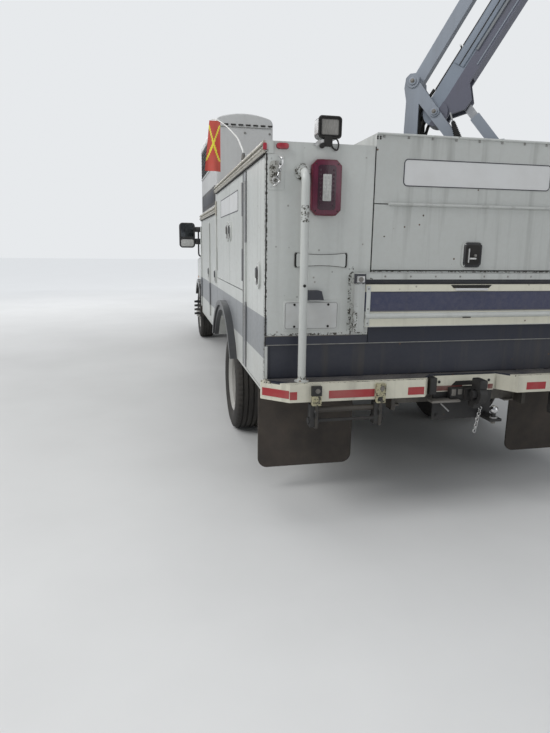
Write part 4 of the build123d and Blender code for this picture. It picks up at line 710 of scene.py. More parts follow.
# Name, place, aim, power in watts and size of each lamp
LAMPS = (("key", (-7.5, -1.5, 8.0), (0, 1.5, 1.2), 520, 5.0),
         ("fill", (5.0, -7.0, 4.5), (0, 0.5, 1.4), 110, 6.0),
         ("front", (-4.5, 12.0, 7.0), (0, 5.0, 1.2), 320, 6.0),
         ("top", (0.5, 3.0, 13.0), (0.5, 3.0, 0), 330, 8.0))


def make_floor():
    """A pale floor that glows towards its edge, so it ends in the surround."""
    data = bpy.data.meshes.new("floor")
    part = bmesh.new()
    bmesh.ops.create_grid(part, x_segments=1, y_segments=1, size=60)
    part.to_mesh(data)
    part.free()
    floor = add_object("floor", data)
    s = Shader("floor_grey")
    s.set("Base Color", s.mix(s.span(s.noise(0.7, 5), 0.3, 0.7), (0.6, 0.6, 0.59), (0.66, 0.66, 0.65)))
    s.set("Roughness", 0.9)
    x, y = s.axes()[:2]
    far = s.math("POWER", s.plus(s.times(x, x), s.times(y, y)), 0.5)
    s.set("Emission Color", SURROUND_GREY)
    s.set("Emission Strength", s.span(far, 3.0, 15.0, 0.0, 0.66))
    data.materials.append(s.material)


def make_lamps():
    """Soft square lamps."""
    for name, place, target, power, size in LAMPS:
        lamp = bpy.data.lights.new(name, "AREA")
        lamp.energy = power
        lamp.size = size
        obj = add_object(name, lamp)
        start, aim = at(*place), at(*target)
        turn = (aim - start).to_track_quat("-Z", "Y").to_matrix().to_4x4()
        obj.matrix_world = Matrix.Translation(start) @ turn


def make_surround():
    """A dim sky for the light, and a paler one that the camera sees."""
    world = bpy.data.worlds.new("surround")
    world.use_nodes = True
    tree = world.node_tree
    tree.nodes.clear()
    kinds = ("OutputWorld", "LightPath", "MixShader")
    out, ray, mix = (tree.nodes.new("ShaderNode" + kind) for kind in kinds)
    tree.links.new(ray.outputs["Is Camera Ray"], mix.inputs["Fac"])
    for k, colour, strength in ((1, (0.86, 0.9, 0.96), 0.36), (2, SURROUND_GREY, 1.0)):
        back = tree.nodes.new("ShaderNodeBackground")
        back.inputs["Color"].default_value = (*colour, 1)
        back.inputs["Strength"].default_value = strength
        tree.links.new(back.outputs[0], mix.inputs[k])
    tree.links.new(mix.outputs[0], out.inputs["Surface"])
    bpy.context.scene.world = world
    bpy.context.scene.view_settings.view_transform = "Standard"


def octagon(x, z, width, height, cut):
    """An upright outline with cut corners, in x and z."""
    w, h = width / 2, height / 2
    return [(x + a, z + b) for a, b in ((-w + cut, -h), (w - cut, -h), (w, -h + cut), (w, h - cut),
                                        (w - cut, h), (-w + cut, h), (-w, h - cut), (-w, -h + cut))]


def circle(count, radius, start=0.0):
    """Offsets evenly round a circle."""
    for k in range(count):
        a = math.tau * k / count + start
        yield radius * math.cos(a), radius * math.sin(a)


def rounded(width, height, radius, steps=5):
    """Points of a rounded rectangle about the origin, in order."""
    points = []
    w, h = width / 2 - radius, height / 2 - radius
    for cx, cz, start in ((w, h, 0), (-w, h, 90), (-w, -h, 180), (w, -h, 270)):
        for k in range(steps + 1):
            a = math.radians(start + 90 * k / steps)
            points.append((cx + radius * math.cos(a), cz + radius * math.sin(a)))
    return points


def rear_shape(piece, y, outline, depth, look, bevel=0.0):
    """A plate that faces rearward from the plane y, with its outline in x and z."""
    piece.plate([(x, y, z) for x, z in outline], REAR, depth, look, bevel)


def rear_plate(piece, x, y, z, width, height, radius, depth, look, bevel=0.0):
    """A rounded plate that faces rearward from the plane y."""
    rear_shape(piece, y, [(x + a, z + b) for a, b in rounded(width, height, radius)], depth, look, bevel)


def rear_frame(piece, x, y, z, width, height, radius, thick, look):
    """A rounded outline of wire that lies on a rear face."""
    sweep_round(piece, [(x + a, y, z + b) for a, b in rounded(width, height, radius)], thick, look, 6, True)


def side_plate(piece, side, y, z, width, height, radius, depth, look, bevel=0.0, x=HALF_WIDTH):
    """A rounded plate that faces outward from one side."""
    piece.plate([(side * x, y + a, z + b) for a, b in rounded(width, height, radius)], (side, 0, 0), depth,
                look, bevel)


def side_frame(piece, side, y, z, width, height, radius, thick, look, x):
    """A rounded outline of wire that lies on one side."""
    line = [(side * x, y + a, z + b) for a, b in rounded(width, height, radius)]
    sweep_round(piece, line, thick, look, 6, True)


def bolt(piece, place, axis, radius, look="steel", washer=True):
    """A hexagon head on a washer."""
    place, axis = spot(place), Vector(axis).normalized()
    if washer:
        piece.rod(place - axis * 0.0005, place + axis * radius * 0.22, radius * 1.5, look, 16)
    piece.rod(place, place + axis * radius * 0.95, radius, look, 6, bevel=radius * 0.12)


def rivet(piece, place, axis, radius, look):
    """A low round head."""
    place, axis = spot(place), Vector(axis).normalized()
    piece.rod(place - axis * 0.0003, place + axis * radius * 0.5, radius, look, 10, radius * 0.6)


LINK_DROP = 0.017


def chain(piece, links, start, lean, radius, thick, look):
    """Links that hang from a place, each turned a quarter from the last."""
    x, y, z = start
    for k in range(links):
        axis = (1, 0, 0) if k % 2 else FRONT
        piece.ring((x - lean * k, y, z - LINK_DROP * k), axis, radius, thick, look, 14, 6)


def make_tail_lamp(side, label):
    """A cut-cornered lens with rows of lamp dots."""
    lamp = Piece("tail_lamp_lens_" + label)
    x, z = side * 0.878, 1.836
    rear_shape(lamp, -0.001, octagon(x, z, 0.163, 0.282, 0.028), 0.0255, "lamp_body", 0.003)
    rear_shape(lamp, -0.0262, octagon(x, z, 0.152, 0.27, 0.026), 0.004, "red", 0.002)
    rear_shape(lamp, -0.0302, octagon(x, z, 0.098, 0.226, 0.01), 0.0025, "dark_red", 0.001)
    rear_plate(lamp, x, -0.0327, z, 0.046, 0.135, 0.005, 0.003, "clear", 0.001)
    for rows, pitch, off, y, radius, look in ((7, 0.018, 0.011, -0.0355, 0.0065, "clear"),
                                              (9, 0.022, 0.036, -0.0325, 0.006, "dark_red")):
        for row in range(rows):
            for col in (-1, 1):
                lamp.ball((x + col * off, y, z + pitch * (row - (rows - 1) / 2)), radius, look, (1, 0.4, 1))
    for cx, cz in CORNERS:
        rivet(lamp, (x + cx * 0.06, -0.0302, z + cz * 0.118), REAR, 0.004, "gasket")
    lamp.done("truck", "lamp_lens")


def make_marker_lamps(side, label):
    """A flat marker on the rear face and a small one at the corner."""
    marker = Piece("marker_lamps_" + label)
    x = side * 1.113
    rear_plate(marker, x, 0, 2.036, 0.068, 0.031, 0.015, 0.006, "lamp_body", 0.002)
    rear_plate(marker, x, -0.006, 2.036, 0.062, 0.027, 0.013, 0.016, "marker", 0.006)
    rear_plate(marker, side * 1.206, -0.004, 2.03, 0.02, 0.034, 0.005, 0.007, "marker", 0.002)
    marker.done("truck", "lamp_lens")


def make_rail_fittings(side, label):
    """Flange, foot and bolts of a grab rail."""
    rail = Piece("grab_rail_fittings_" + label)
    x = side * 1.005
    z = 1.913
    rail.rod((x, 0, z), (x, -0.009, z), 0.037, "worn", 28, bevel=0.002)
    for a, b in circle(4, 0.027, math.pi / 4):
        bolt(rail, (x + a, -0.009, z + b), REAR, 0.005, "worn")
    rail.ring((x, -0.013, z), FRONT, 0.023, 0.004, "plain")
    y, z = -0.078, 0.816
    rail.rod((x, y, 0.8085), (x, y, z), 0.04, "plain", 24, bevel=0.002)
    rail.ring((x, y, z + 0.002), UP, 0.023, 0.004, "plain")
    for a, b in circle(3, 0.031):
        bolt(rail, (x + a, y + b, z), UP, 0.005, "rusty")
    bolt(rail, (x, -0.099, 1.33), REAR, 0.0055, "gasket")
    rail.done("truck", "white_paint")


def make_rear_seams():
    """Seams and painted strips of the rear faces, and painted shade in the gap behind the tailgate."""
    seams = Piece("rear_seams")
    for side in (-1, 1):
        seams.slab(side * 1.1955, 0.003, (-0.001, 0.0), (0.812, 2.0), "gasket")
        seams.slab(side * 0.6025, 0.003, (-0.001, 0.0), (1.398, 2.056), "gasket")
        seams.slab(side * 0.7075, 0.003, (-0.001, 0.0), (1.05, 1.392), "gasket")
        seams.slab(side * 0.896, 0.296, (-0.0014, 0.0), (0.998, 1.0025), "badge")
        seams.box((side * 0.94 - 0.26, -0.0012, 1.048), (side * 0.94 + 0.25, 0.0, 1.0515), "worn")
    seams.box((-0.6, -0.0014, 0.998), (0.6, 0.0, 1.0025), "badge")
    for side in (-1, 1):
        seams.slab(side * 1.19, 0.008, (-0.0016, 0.0), (0.812, 0.994), "plain")
    seams.box((-1.165, 0.0125, 0.812), (1.165, 0.0155, 0.996), "navy")
    # Painted shade: a dark sheet in the gap above and behind the tailgate.
    seams.box((-0.64, -0.0078, 1.3), (0.64, -0.001, 1.384), "ink_and_shade")
    seams.done("truck", "dark_trim")


def make_number_plate():
    """A blank number plate under its lamp."""
    plate = Piece("number_plate_blank")
    x, z = -0.939, 1.162
    rear_plate(plate, x, 0, z, 0.318, 0.165, 0.012, 0.006, "plain", 0.002)
    rear_plate(plate, x, -0.006, z, 0.305, 0.152, 0.016, 0.002, "plate", 0.0006)
    rear_frame(plate, x, -0.0082, z, 0.296, 0.143, 0.012, 0.0013, "badge")
    for cx, cz in CORNERS:
        bolt(plate, (x + cx * 0.096, -0.008, z + cz * 0.06), REAR, 0.0046, "gasket")
    lamp = ((-0.975, 1.248), (-0.875, 1.248), (-0.888, 1.296), (-0.905, 1.301), (-0.968, 1.301),
            (-0.975, 1.293))
    rear_shape(plate, 0, lamp, 0.034, "ink_and_shade", 0.006)
    rear_plate(plate, -0.925, -0.02, 1.2478, 0.07, 0.004, 0.001, 0.012, "clear")
    plate.done("truck", "dark_trim")


def make_badges():
    """Two blank badges with a bowed edge."""
    badge = Piece("badge_blank")
    edge = [(t / 6 * 0.145, 0.031 + 0.01 * (t / 6) ** 2) for t in range(-6, 7)]
    end = [(0.15, -0.03), (0.15, 0.03)]
    outline = [(a, -b) for a, b in edge] + end + edge[::-1] + [(-a, -b) for a, b in end]
    for side in (-1, 1):
        for wide, high, y, depth, look in ((1.0, 1.0, 0.0, 0.005, "badge"),
                                           (0.98, 0.95, -0.005, 0.0012, "gasket"),
                                           (0.92, 0.89, -0.0062, 0.0008, "plain")):
            shape = [(side * 0.891 + a * wide, 1.462 + b * high) for a, b in outline]
            rear_shape(badge, y, shape, depth, look)
    badge.done("truck", "bright_steel")


def make_chain_hook():
    """The worn plate with a ring, a hook and a short chain."""
    hook = Piece("chain_hook_plate")
    rear_plate(hook, -1.145, 0, 1.907, 0.086, 0.174, 0.006, 0.003, "plain", 0.001)
    rear_plate(hook, -1.15, -0.003, 1.905, 0.062, 0.118, 0.024, 0.0015, "corroded", 0.0006)
    hook.ring((-1.15, -0.014, 1.865), (0.2, 1, 0), 0.014, 0.0035, "steel", 18)
    bow = ((-1.131, -0.004, 1.985), (-1.121, -0.026, 1.972), (-1.116, -0.024, 1.945), (-1.126, -0.006, 1.925))
    hook.tube(bow, 0.0042, "chrome")
    chain(hook, 5, (-1.124, -0.012, 1.948), 0.004, 0.0085, 0.0024, "chrome")
    hook.rod((-1.156, -0.003, 1.838), (-1.126, -0.02, 1.862), 0.006, "steel", 12)
    for z in (1.975, 1.835):
        rivet(hook, (-1.172, -0.003, z), REAR, 0.004, "steel")
    hook.done("truck", "bright_steel")


def make_work_lamp():
    """Gaskets, fins, bracket and pigtail of the work lamp."""
    lamp = Piece("work_lamp_fittings")
    x, z = -0.864, 2.1385
    rear_frame(lamp, x, -0.01, z, 0.116, 0.099, 0.014, 0.006, "gasket")
    rear_plate(lamp, x, -0.009, z, 0.094, 0.078, 0.008, 0.003, "lamp_face", 0.001)
    rear_frame(lamp, x, -0.012, z, 0.098, 0.082, 0.01, 0.004, "gasket")
    for k in range(5):
        z = 2.1 + 0.019 * k
        lamp.box((-0.918, 0.068, z), (-0.81, 0.082, z + 0.006), "trim", 0.001)
    lamp.box((-0.893, -0.018, 2.044), (-0.85, 0.018, 2.094), "gasket", 0.004)
    lamp.rod((-0.904, 0.0, 2.046), (-0.904, -0.024, 2.046), 0.013, "gasket", 14, bevel=0.002)
    bracket = ((-0.95, 2.048), (-0.926, 2.073), (-0.893, 2.079), (-0.893, 2.058), (-0.932, 2.044))
    rear_shape(lamp, -0.006, bracket, 0.004, "steel", 0.001)
    lamp.tube([(-0.845, -0.002, 2.086), (-0.824, -0.01, 2.078), (-0.816, -0.012, 2.052),
               (-0.823, -0.012, 2.028), (-0.842, -0.01, 2.034), (-0.854, -0.006, 2.052)], 0.0042, "hose")
    lamp.done("truck", "dark_trim")


def make_centre_box_trim():
    """Sign, seams, rivets and gate pins of the centre box."""
    box = Piece("centre_box_trim")
    rear_plate(box, 0.0145, 0, 1.932, 0.901, 0.137, 0.022, 0.0015, "sign")
    rear_frame(box, 0.0145, -0.0015, 1.932, 0.901, 0.137, 0.022, 0.0026, "ink_and_shade")
    box.rod((-0.6, -0.003, 2.123), (0.6, -0.003, 2.123), 0.006, "plain", 10)
    for k in range(9):
        x = -0.56 + 0.14 * k
        box.slab(x, 0.006, (-0.004, 0.001), (2.104, 2.12), "badge", 0.001)
    for k in range(8):
        x = -0.53 + 1.06 * k / 7
        rivet(box, (x, -0.04, 1.377), REAR, 0.006, "badge")
    box.box((-0.645, -0.041, 1.3965), (0.645, -0.002, 1.3985), "plain", 0.0008)
    for x in (-0.596, -0.58):
        for z in (2.098, 2.108):
            rivet(box, (x, 0, z), REAR, 0.0055, "gasket")
    for side in (-1, 1):
        x = side * 0.681
        box.rod((x, -0.058, 1.362), (x, -0.074, 1.362), 0.014, "worn", 14, bevel=0.002)
        box.slab(x, 0.022, (-0.07, -0.056), (1.346, 1.38), "steel", 0.003)
        box.slab(x, 0.034, (-0.0565, -0.05), (1.34, 1.392), "ink_and_shade", 0.002)
    box.done("truck", "white_paint")


def make_hatch_latch():
    """The paddle latch of the rear hatch."""
    latch = Piece("hatch_latch")
    x, z = 0.005, 1.498
    rear_plate(latch, x, -0.006, z, 0.116, 0.14, 0.024, 0.01, "trim", 0.003)
    rear_frame(latch, x, -0.016, z, 0.102, 0.126, 0.02, 0.004, "trim")
    rear_plate(latch, x, -0.016, z, 0.086, 0.11, 0.014, 0.001, "gasket")
    latch.box((x - 0.03, -0.024, z - 0.044), (x - 0.022, -0.016, z + 0.036), "steel", 0.003)
    latch.box((x - 0.026, -0.028, z - 0.026), (x + 0.02, -0.016, z - 0.015), "steel", 0.004)
    latch.rod((x + 0.014, -0.016, z - 0.004), (x + 0.014, -0.026, z - 0.004), 0.008, "badge", 18, bevel=0.001)
    for cx, cz in CORNERS:
        rivet(latch, (x + cx * 0.047, -0.0165, z + cz * 0.058), REAR, 0.004, "steel")
    latch.slab(x, 0.045, (-0.009, -0.006), (1.415, 1.421), "steel", 0.001)
    latch.done("rear_hatch", "dark_trim")


def make_tailgate_trim():
    """Stripe, handle, edge strips and rivets of the tailgate."""
    gate = Piece("tailgate_trim")
    gate.box((-0.64, -0.053, 1.1835), (0.64, -0.0495, 1.188), "worn", 0.001)
    rear_shape(gate, -0.05, ((-0.642, 1.102), (-0.642, 1.18), (0.642, 1.18), (0.642, 1.102)), 0.0015, "cream")
    gate.rod((-0.642, -0.05, 1.16), (0.642, -0.05, 1.16), 0.016, "plain", 16)
    gate.box((-0.055, -0.0668, 1.144), (-0.005, -0.064, 1.15), "gasket")
    gate.box((-0.64, -0.0525, 1.292), (0.64, -0.0495, 1.295), "ink_and_shade", 0.001)
    notch = ((-0.118, 1.313), (0.104, 1.313), (0.122, 1.331), (-0.136, 1.331))
    rear_shape(gate, -0.05, notch, 0.0012, "gasket")
    gate.box((-0.108, -0.066, 1.3), (0.092, -0.05, 1.3125), "sign", 0.002)
    for side in (-1, 1):
        gate.slab(side * 0.628, 0.012, (-0.054, -0.05), (1.105, 1.325), "plain", 0.001)
        for z in (1.12, 1.2, 1.31):
            rivet(gate, (side * 0.628, -0.054, z), REAR, 0.005, "badge")
    gate.done("tailgate", "white_paint")


def tread_edge(x):
    """How far back the step's plate reaches at a distance from its middle."""
    if x < 0.225:
        return -0.02
    if 0.3 < x < 1.065:
        return -0.103
    return -0.103 + 0.9 * max(x - 1.065, (0.3 - x) * 1.2)


def make_step_tread():
    """Tread plate with rows of raised bars."""
    tread = Piece("step_tread")
    half = [(1.178, -0.003), (1.178, -0.016), (1.068, -0.103), (0.29, -0.103), (0.215, -0.024)]
    outline = [(-x, y) for x, y in half] + half[::-1]
    tread.plate([(x, y, 0.808) for x, y in outline], UP, 0.003, "tread")
    part = bmesh.new()
    for row in range(6):
        for col in range(98):
            x = -1.19 + 0.0245 * col + 0.012 * (row % 2)
            y = -0.016 - 0.0195 * row
            if y - 0.01 < tread_edge(abs(x)) or abs(x) > 1.165:
                continue
            lean = 0.5 if (row + col) % 2 else -0.5
            c, s = math.cos(math.pi / 2 * lean), math.sin(math.pi / 2 * lean)
            ring = []
            for a, b in ((-0.0105, 0), (0, -0.003), (0.0105, 0), (0, 0.003)):
                ring.append(part.verts.new(at(x + a * c - b * s, y + a * s + b * c, 0.8109)))
            top = part.verts.new(at(x, y, 0.8128))
            for i in range(4):
                part.faces.new((ring[i], ring[(i + 1) % 4], top))
    tread.take(part, "tread", smooth=False)
    tread.done("truck", "chassis_black")


def make_tape():
    """Marking tape and faded stickers on the step's edge, and the receiver opening as painted shade."""
    tape = Piece("reflective_tape")
    for side in (-1, 1):
        for x0, x1 in ((0.6, 0.865), (0.302, 0.4) if side < 0 else (0.354, 0.481)):
            tape.box((side * x0, -0.1412, 0.722), (side * x1, -0.1398, 0.766), "tape")
        slant = ((1.214, -0.0258, 0.728), (1.088, -0.1376, 0.728), (1.088, -0.1376, 0.772),
                 (1.214, -0.0258, 0.772))
        tape.plate([(side * x, y, z) for x, y, z in slant], (side * 0.66, -0.75, 0), 0.0014, "tape")
        tape.box((side * 1.085, -0.1412, 0.722), (side * 1.044, -0.1398, 0.766), "tape")
    tape.box((-0.19, -0.0465, 0.706), (0.196, -0.0422, 0.802), "cream")
    tape.box((-0.177, -0.0478, 0.712), (-0.01, -0.0462, 0.742), "faded_tape")
    tape.box((0.16, -0.0478, 0.712), (0.192, -0.0462, 0.742), "faded_tape")
    # Painted shade: a dark trapezoid where the receiver opening is.
    receiver_opening_shade = ((-0.082, 0.742), (-0.054, 0.768), (0.048, 0.768), (0.078, 0.742))
    rear_shape(tape, -0.0465, receiver_opening_shade, 0.0015, "gasket")
    tape.done("truck", "white_paint")


def make_step_brackets(side, label):
    """Brackets, bolts and a bar below the step."""
    gear = Piece("step_brackets_" + label)
    for x in (0.57, 0.939):
        upper, lower = ("pitch", "bracket") if x > 0.8 else ("bracket", "bracket")
        gear.slab(side * x, 0.028, (-0.166, -0.14), (0.742, 0.797), upper, 0.003)
        gear.slab(side * x, 0.026, (-0.17, -0.14), (0.69, 0.744), lower, 0.004)
        bolt(gear, (side * x + 0.004, -0.166, 0.772), REAR, 0.009, "worn")
        bolt(gear, (side * x - 0.008, -0.17, 0.714), REAR, 0.009, "bracket" if x > 0.8 else "pitch")
        gear.box((side * x - 0.034, -0.158, 0.566), (side * x + 0.014, -0.104, 0.692), "pitch", 0.004)
        gear.rod((side * x - 0.042, -0.13, 0.6), (side * x + 0.022, -0.13, 0.6), 0.02, "pitch", 18,
                 bevel=0.003)
        gear.ring((side * x - 0.01, -0.15, 0.64), (1, 0.2, 0), 0.02, 0.005, "pitch", 16, 6)
    gear.rod((side * 0.57, -0.15, 0.604), (side * 0.939, -0.15, 0.604), 0.009, "pitch", 12)
    gear.done("truck", "chassis_black")


def make_flap_bolts(side, label):
    """The clamp bar of a mud flap and its bolts."""
    flap = Piece("flap_bolts_" + label)
    flap.slab(side * 0.87, 0.3, (0.29, 0.299), (0.68, 0.716), "black", 0.002)
    for k in range(5):
        bolt(flap, (side * 0.87 - 0.26 + 0.13 * k, 0.29, 0.698), REAR, 0.008, "rusty")
    flap.done("truck", "flap_rubber")


def make_hitch_fittings():
    """Bolts, blocks, jaw, chain and ball of the hitch."""
    hitch = Piece("hitch_fittings")
    for x in (-0.162, 0.162):
        for z in (0.562, 0.664, 0.766):
            bolt(hitch, (x, -0.042, z), REAR, 0.009, "pitch")
    hitch.box((-0.248, -0.108, 0.706), (-0.206, -0.046, 0.806), "pitch", 0.006)
    hitch.box((-0.23, -0.11, 0.655), (-0.05, -0.045, 0.668), "worn", 0.003)
    hitch.box((-0.105, -0.085, 0.668), (0.085, -0.046, 0.735), "pitch", 0.008)
    for k in range(5):
        hitch.box((-0.098 + 0.04 * k, -0.09, 0.69 + 0.006 * (k % 2)), (-0.072 + 0.04 * k, -0.084, 0.728),
                  "worn", 0.002)
    hitch.rod((-0.15, -0.06, 0.64), (-0.115, -0.1, 0.6), 0.0045, "steel", 8)
    hitch.rod((-0.018, -0.165, 0.715), (0.072, -0.165, 0.715), 0.024, "pitch", 20, bevel=0.004)
    hitch.box((0.002, -0.215, 0.752), (0.052, -0.12, 0.806), "pitch", 0.012)
    hitch.rod((0.027, -0.128, 0.77), (0.027, -0.128, 0.8), 0.009, "worn", 12, bevel=0.002)
    chain(hitch, 9, (0.055, -0.15, 0.625), 0.003, 0.0095, 0.0028, "steel")
    x, y = 0.146, -0.15
    hitch.ball((x, y, 0.612), 0.0254, "chrome")
    hitch.ring((x, y, 0.5645), UP, 0.018, 0.006, "steel", 20)
    hitch.rod((x, y, 0.547), (x, y, 0.53), 0.014, "worn", 6)
    hitch.done("truck", "chassis_black")


DOOR_INSET = 0.006
LATCH_PROUD = 0.0105
# Name, place of the latch in y and z, and span in y and in z
SIDE_DOORS = (("rear_door", 0.17, 1.373, (0.03, 0.612), (0.745, 1.99)),
              ("middle_rear_door", 1.362, 1.64, (0.742, 1.432), (1.245, 1.99)),
              ("middle_front_door", 1.508, 1.64, (1.438, 2.318), (1.245, 1.99)),
              ("forward_rear_door", 2.432, 1.257, (2.362, 2.984), (0.745, 1.82)),
              ("forward_front_door", 3.07, 1.257, (3.0, 4.022), (0.745, 1.82)))


def make_door_latches(side, label):
    """A paddle latch and a gasket line on each side door."""
    face = HALF_WIDTH + LATCH_PROUD
    for name, y, z, (y0, y1), (z0, z1) in SIDE_DOORS:
        piece = Piece(name + "_latch_" + label)
        side_plate(piece, side, y, z, 0.084, 0.124, 0.04, LATCH_PROUD, "gasket", 0.003)
        side_frame(piece, side, y, z, 0.066, 0.106, 0.031, 0.002, "steel", face)
        side_plate(piece, side, y, z, 0.058, 0.098, 0.027, 0.001, "gasket", x=face)
        side_plate(piece, side, y, z + 0.012, 0.026, 0.058, 0.011, 0.01, "grey_trim", 0.003,
                   HALF_WIDTH + 0.012)
        lock = z - 0.044
        piece.rod((side * (HALF_WIDTH + 0.012), y, lock), (side * (HALF_WIDTH + 0.019), y, lock),
                  0.009, "steel", 16, bevel=0.001)
        for cz in (-1, 1):
            rivet(piece, (side * (HALF_WIDTH + 0.0125), y, z + cz * 0.064), (side, 0, 0), 0.0035, "steel")
        side_frame(piece, side, (y0 + y1) / 2, (z0 + z1) / 2, y1 - y0 - 0.004, z1 - z0 - 0.004, 0.012, 0.0058,
                   "gasket", HALF_WIDTH - DOOR_INSET)
        piece.done(name + "_" + label, "white_paint")


def make_side_trim(side, label):
    """Rivets, rub rails and the pillar strip of a side."""
    trim = Piece("side_trim_" + label)
    for k in range(24):
        rivet(trim, (side * HALF_WIDTH, 0.677, 0.8 + 0.05 * k), (side, 0, 0), 0.0065, "badge")
    for y0, y1, top in ((0.0, 2.34, 2.06), (2.34, 4.05, 1.89)):
        for dz in (-0.018, -0.044):
            trim.rod((side * 1.2185, y0, top + dz), (side * 1.2185, y1, top + dz), 0.0055, "rail", 8)
        trim.box((side * 1.201, y0 + 0.01, top - 0.069), (side * 1.212, y1 - 0.01, top - 0.063), "gasket",
                 0.001)
    trim.box((side * 1.2, 0.617, 0.75), (side * 1.2022, 0.737, 1.985), "pillar")
    for y in (0.62, 0.735):
        trim.box((side * 1.2, y - 0.003, 0.75), (side * 1.205, y + 0.003, 1.985), "gasket", 0.001)
    for y0, y1 in ((0.02, 0.9), (2.42, 4.04)):
        trim.rod((side * 1.19, y0, 0.727), (side * 1.19, y1, 0.727), 0.006, "rail", 8)
    trim.done("truck", "white_paint")


def make_side_signs(side, label):
    """A blank sign that runs over both middle doors, outlined on three sides of each half."""
    for name, y0, y1, end in (("middle_rear_door", 0.985, 1.428, 0.985),
                              ("middle_front_door", 1.442, 1.985, 1.985)):
        part = Piece("side_sign_blank_" + name + "_" + label)
        part.box((side * 1.1995, y0, 1.77), (side * 1.2012, y1, 1.905), "sign")
        for z in (1.77, 1.905):
            part.box((side * 1.1996, y0, z - 0.003), (side * 1.2017, y1, z + 0.003), "ink_and_shade")
        part.box((side * 1.1996, end - 0.004, 1.767), (side * 1.2017, end + 0.004, 1.908), "ink_and_shade")
        part.done(name + "_" + label, "white_paint")


def make_housing():
    """Slots, mesh side, bands and fasteners of the equipment housing."""
    piece = Piece("housing_trim")
    for k in range(7):
        x = -1.125 + 0.068 * k
        piece.box((x, 2.394, 2.6), (x + 0.044, 2.401, 2.612), "gasket", 0.001)
    piece.box((-1.18, 2.394, 2.584), (-0.69, 2.401, 2.588), "badge")
    piece.box((-1.2005, 2.5, 2.27), (-1.1935, 3.88, 2.56), "mesh", 0.002)
    for k in range(45):
        y = 2.52 + 0.03 * k
        piece.box((-1.2035, y, 2.28), (-1.1995, y + 0.006, 2.55), "trim")
    for k in range(9):
        z = 2.29 + 0.031 * k
        piece.box((-1.205, 2.51, z), (-1.2015, 3.87, z + 0.005), "trim")
    for z in (2.265, 2.56):
        piece.box((-1.206, 2.49, z), (-1.194, 3.89, z + 0.012), "housing", 0.002)
    piece.box((-1.2005, 2.48, 1.915), (-1.1935, 3.86, 2.085), "trim", 0.002)
    piece.box((-1.2025, 2.62, 1.945), (-1.2, 3.7, 2.05), "ink_and_shade", 0.002)
    for x in (-1.17, -0.93, -0.7):
        for z in (1.93, 2.25, 2.54):
            bolt(piece, (x, 2.4, z), REAR, 0.007, "badge")
    for y in (2.44, 2.92, 3.42, 3.91):
        piece.box((-1.197, y - 0.012, 2.568), (-1.1935, y + 0.012, 2.6), "badge", 0.001)
    piece.box((-0.6715, 2.5, 2.0), (-0.666, 3.85, 2.5), "housing", 0.003)
    for k in range(12):
        piece.box((-0.667, 2.6, 2.06 + 0.034 * k), (-0.6635, 3.75, 2.07 + 0.034 * k), "gasket")
    for y in (2.9, 3.45):
        piece.ring((-0.92, y, 2.702), (1, 0, 0), 0.03, 0.006, "steel", 20)
    piece.done("truck", "white_paint")


def make_whip():
    """The white whip rod on its stub."""
    piece = Piece("whip_rod")
    x, y = -1.14, 1.13
    line = ((x, y, 2.118), (-1.142, 1.135, 2.18), (-1.153, 1.16, 2.219), (-1.166, 1.21, 2.273),
            (-1.185, 1.28, 2.318), (-1.225, 1.42, 2.397), (-1.272, 1.56, 2.463), (-1.31, 1.64, 2.482))
    piece.tube(line, lambda t: 0.0068 - 0.003 * t, "whip", 10, 8)
    piece.rod((x, y, 2.075), (x, y, 2.168), 0.0155, "grey_trim", 14, 0.01)
    for k in range(6):
        piece.ring((x, y, 2.126 + 0.006 * k), UP, 0.0135 - 0.0006 * k, 0.003, "worn", 16, 6)
    piece.ring((x, y, 2.062), UP, 0.022, 0.006, "grey_trim", 18)
    piece.done("truck", "dark_trim")


def make_flag():
    """An orange flag crossed by yellow tape, hung on the whip rod."""
    width, height, cols, rows = 0.122, 0.365, 16, 44
    part = bmesh.new()
    top, along = at(-1.252, 1.552, 2.456), Vector((-0.97, 0.24, 0.05)).normalized()
    grid = []
    for r in range(rows + 1):
        v = r / rows
        line = []
        for c in range(cols + 1):
            u = c / cols
            sway = (0.01 * math.sin(u * 7.0 + v * 2.2) + 0.007 * math.sin(v * 8 + u * 3)) * v
            fall = Vector((0.1 * sway, sway, -v * height))
            line.append(part.verts.new(top + along * u * width * (0.68 + 0.32 * v) + fall))
        grid.append(line)
    for r in range(rows):
        for c in range(cols):
            part.faces.new((grid[r][c], grid[r][c + 1], grid[r + 1][c + 1], grid[r + 1][c]))
    flag = Piece("flag")
    flag.take(part, "orange")
    flag.looks.append("yellow")
    for k, face in enumerate(flag.mesh.faces):
        x, z = ((k % cols) / cols - 0.5) * width, (k // cols / rows - 0.43) * height
        if 0.08 * rows < k // cols < 0.78 * rows and min(abs(x - 0.44 * z), abs(x + 0.44 * z)) < 0.0085:
            face.material_index = 1
    obj = flag.done("truck", "flap_rubber")


def cab_side(z):
    """Half width of the cab's outer side at a height."""
    return 1.0 - 0.21 * max(z - 1.43, 0) / 0.61


def on_screen(x, z, off=0.002):
    """A place on the sloping windscreen."""
    return at(x, 6.08 - 1.082 * (z - 1.43) + 0.68 * off, z + 0.73 * off)


def on_rear_window(x, z):
    """A place on the leaning rear window of the cab."""
    return at(x, 4.15 + 0.236 * (z - 1.49), z)


def window_gasket(piece, side, corners):
    """A rubber line round a side window, with its corners in y and z."""
    line = [(side * (cab_side(z) + 0.001), y, z) for y, z in corners]
    sweep_round(piece, line, 0.011, "gasket", 6, True)


def front_plate(piece, x, y, z, width, height, radius, depth, look, bevel=0.0):
    """A rounded plate that faces forward from the plane y."""
    piece.plate([(x + a, y, z + b) for a, b in rounded(width, height, radius)], FRONT, depth, look, bevel)


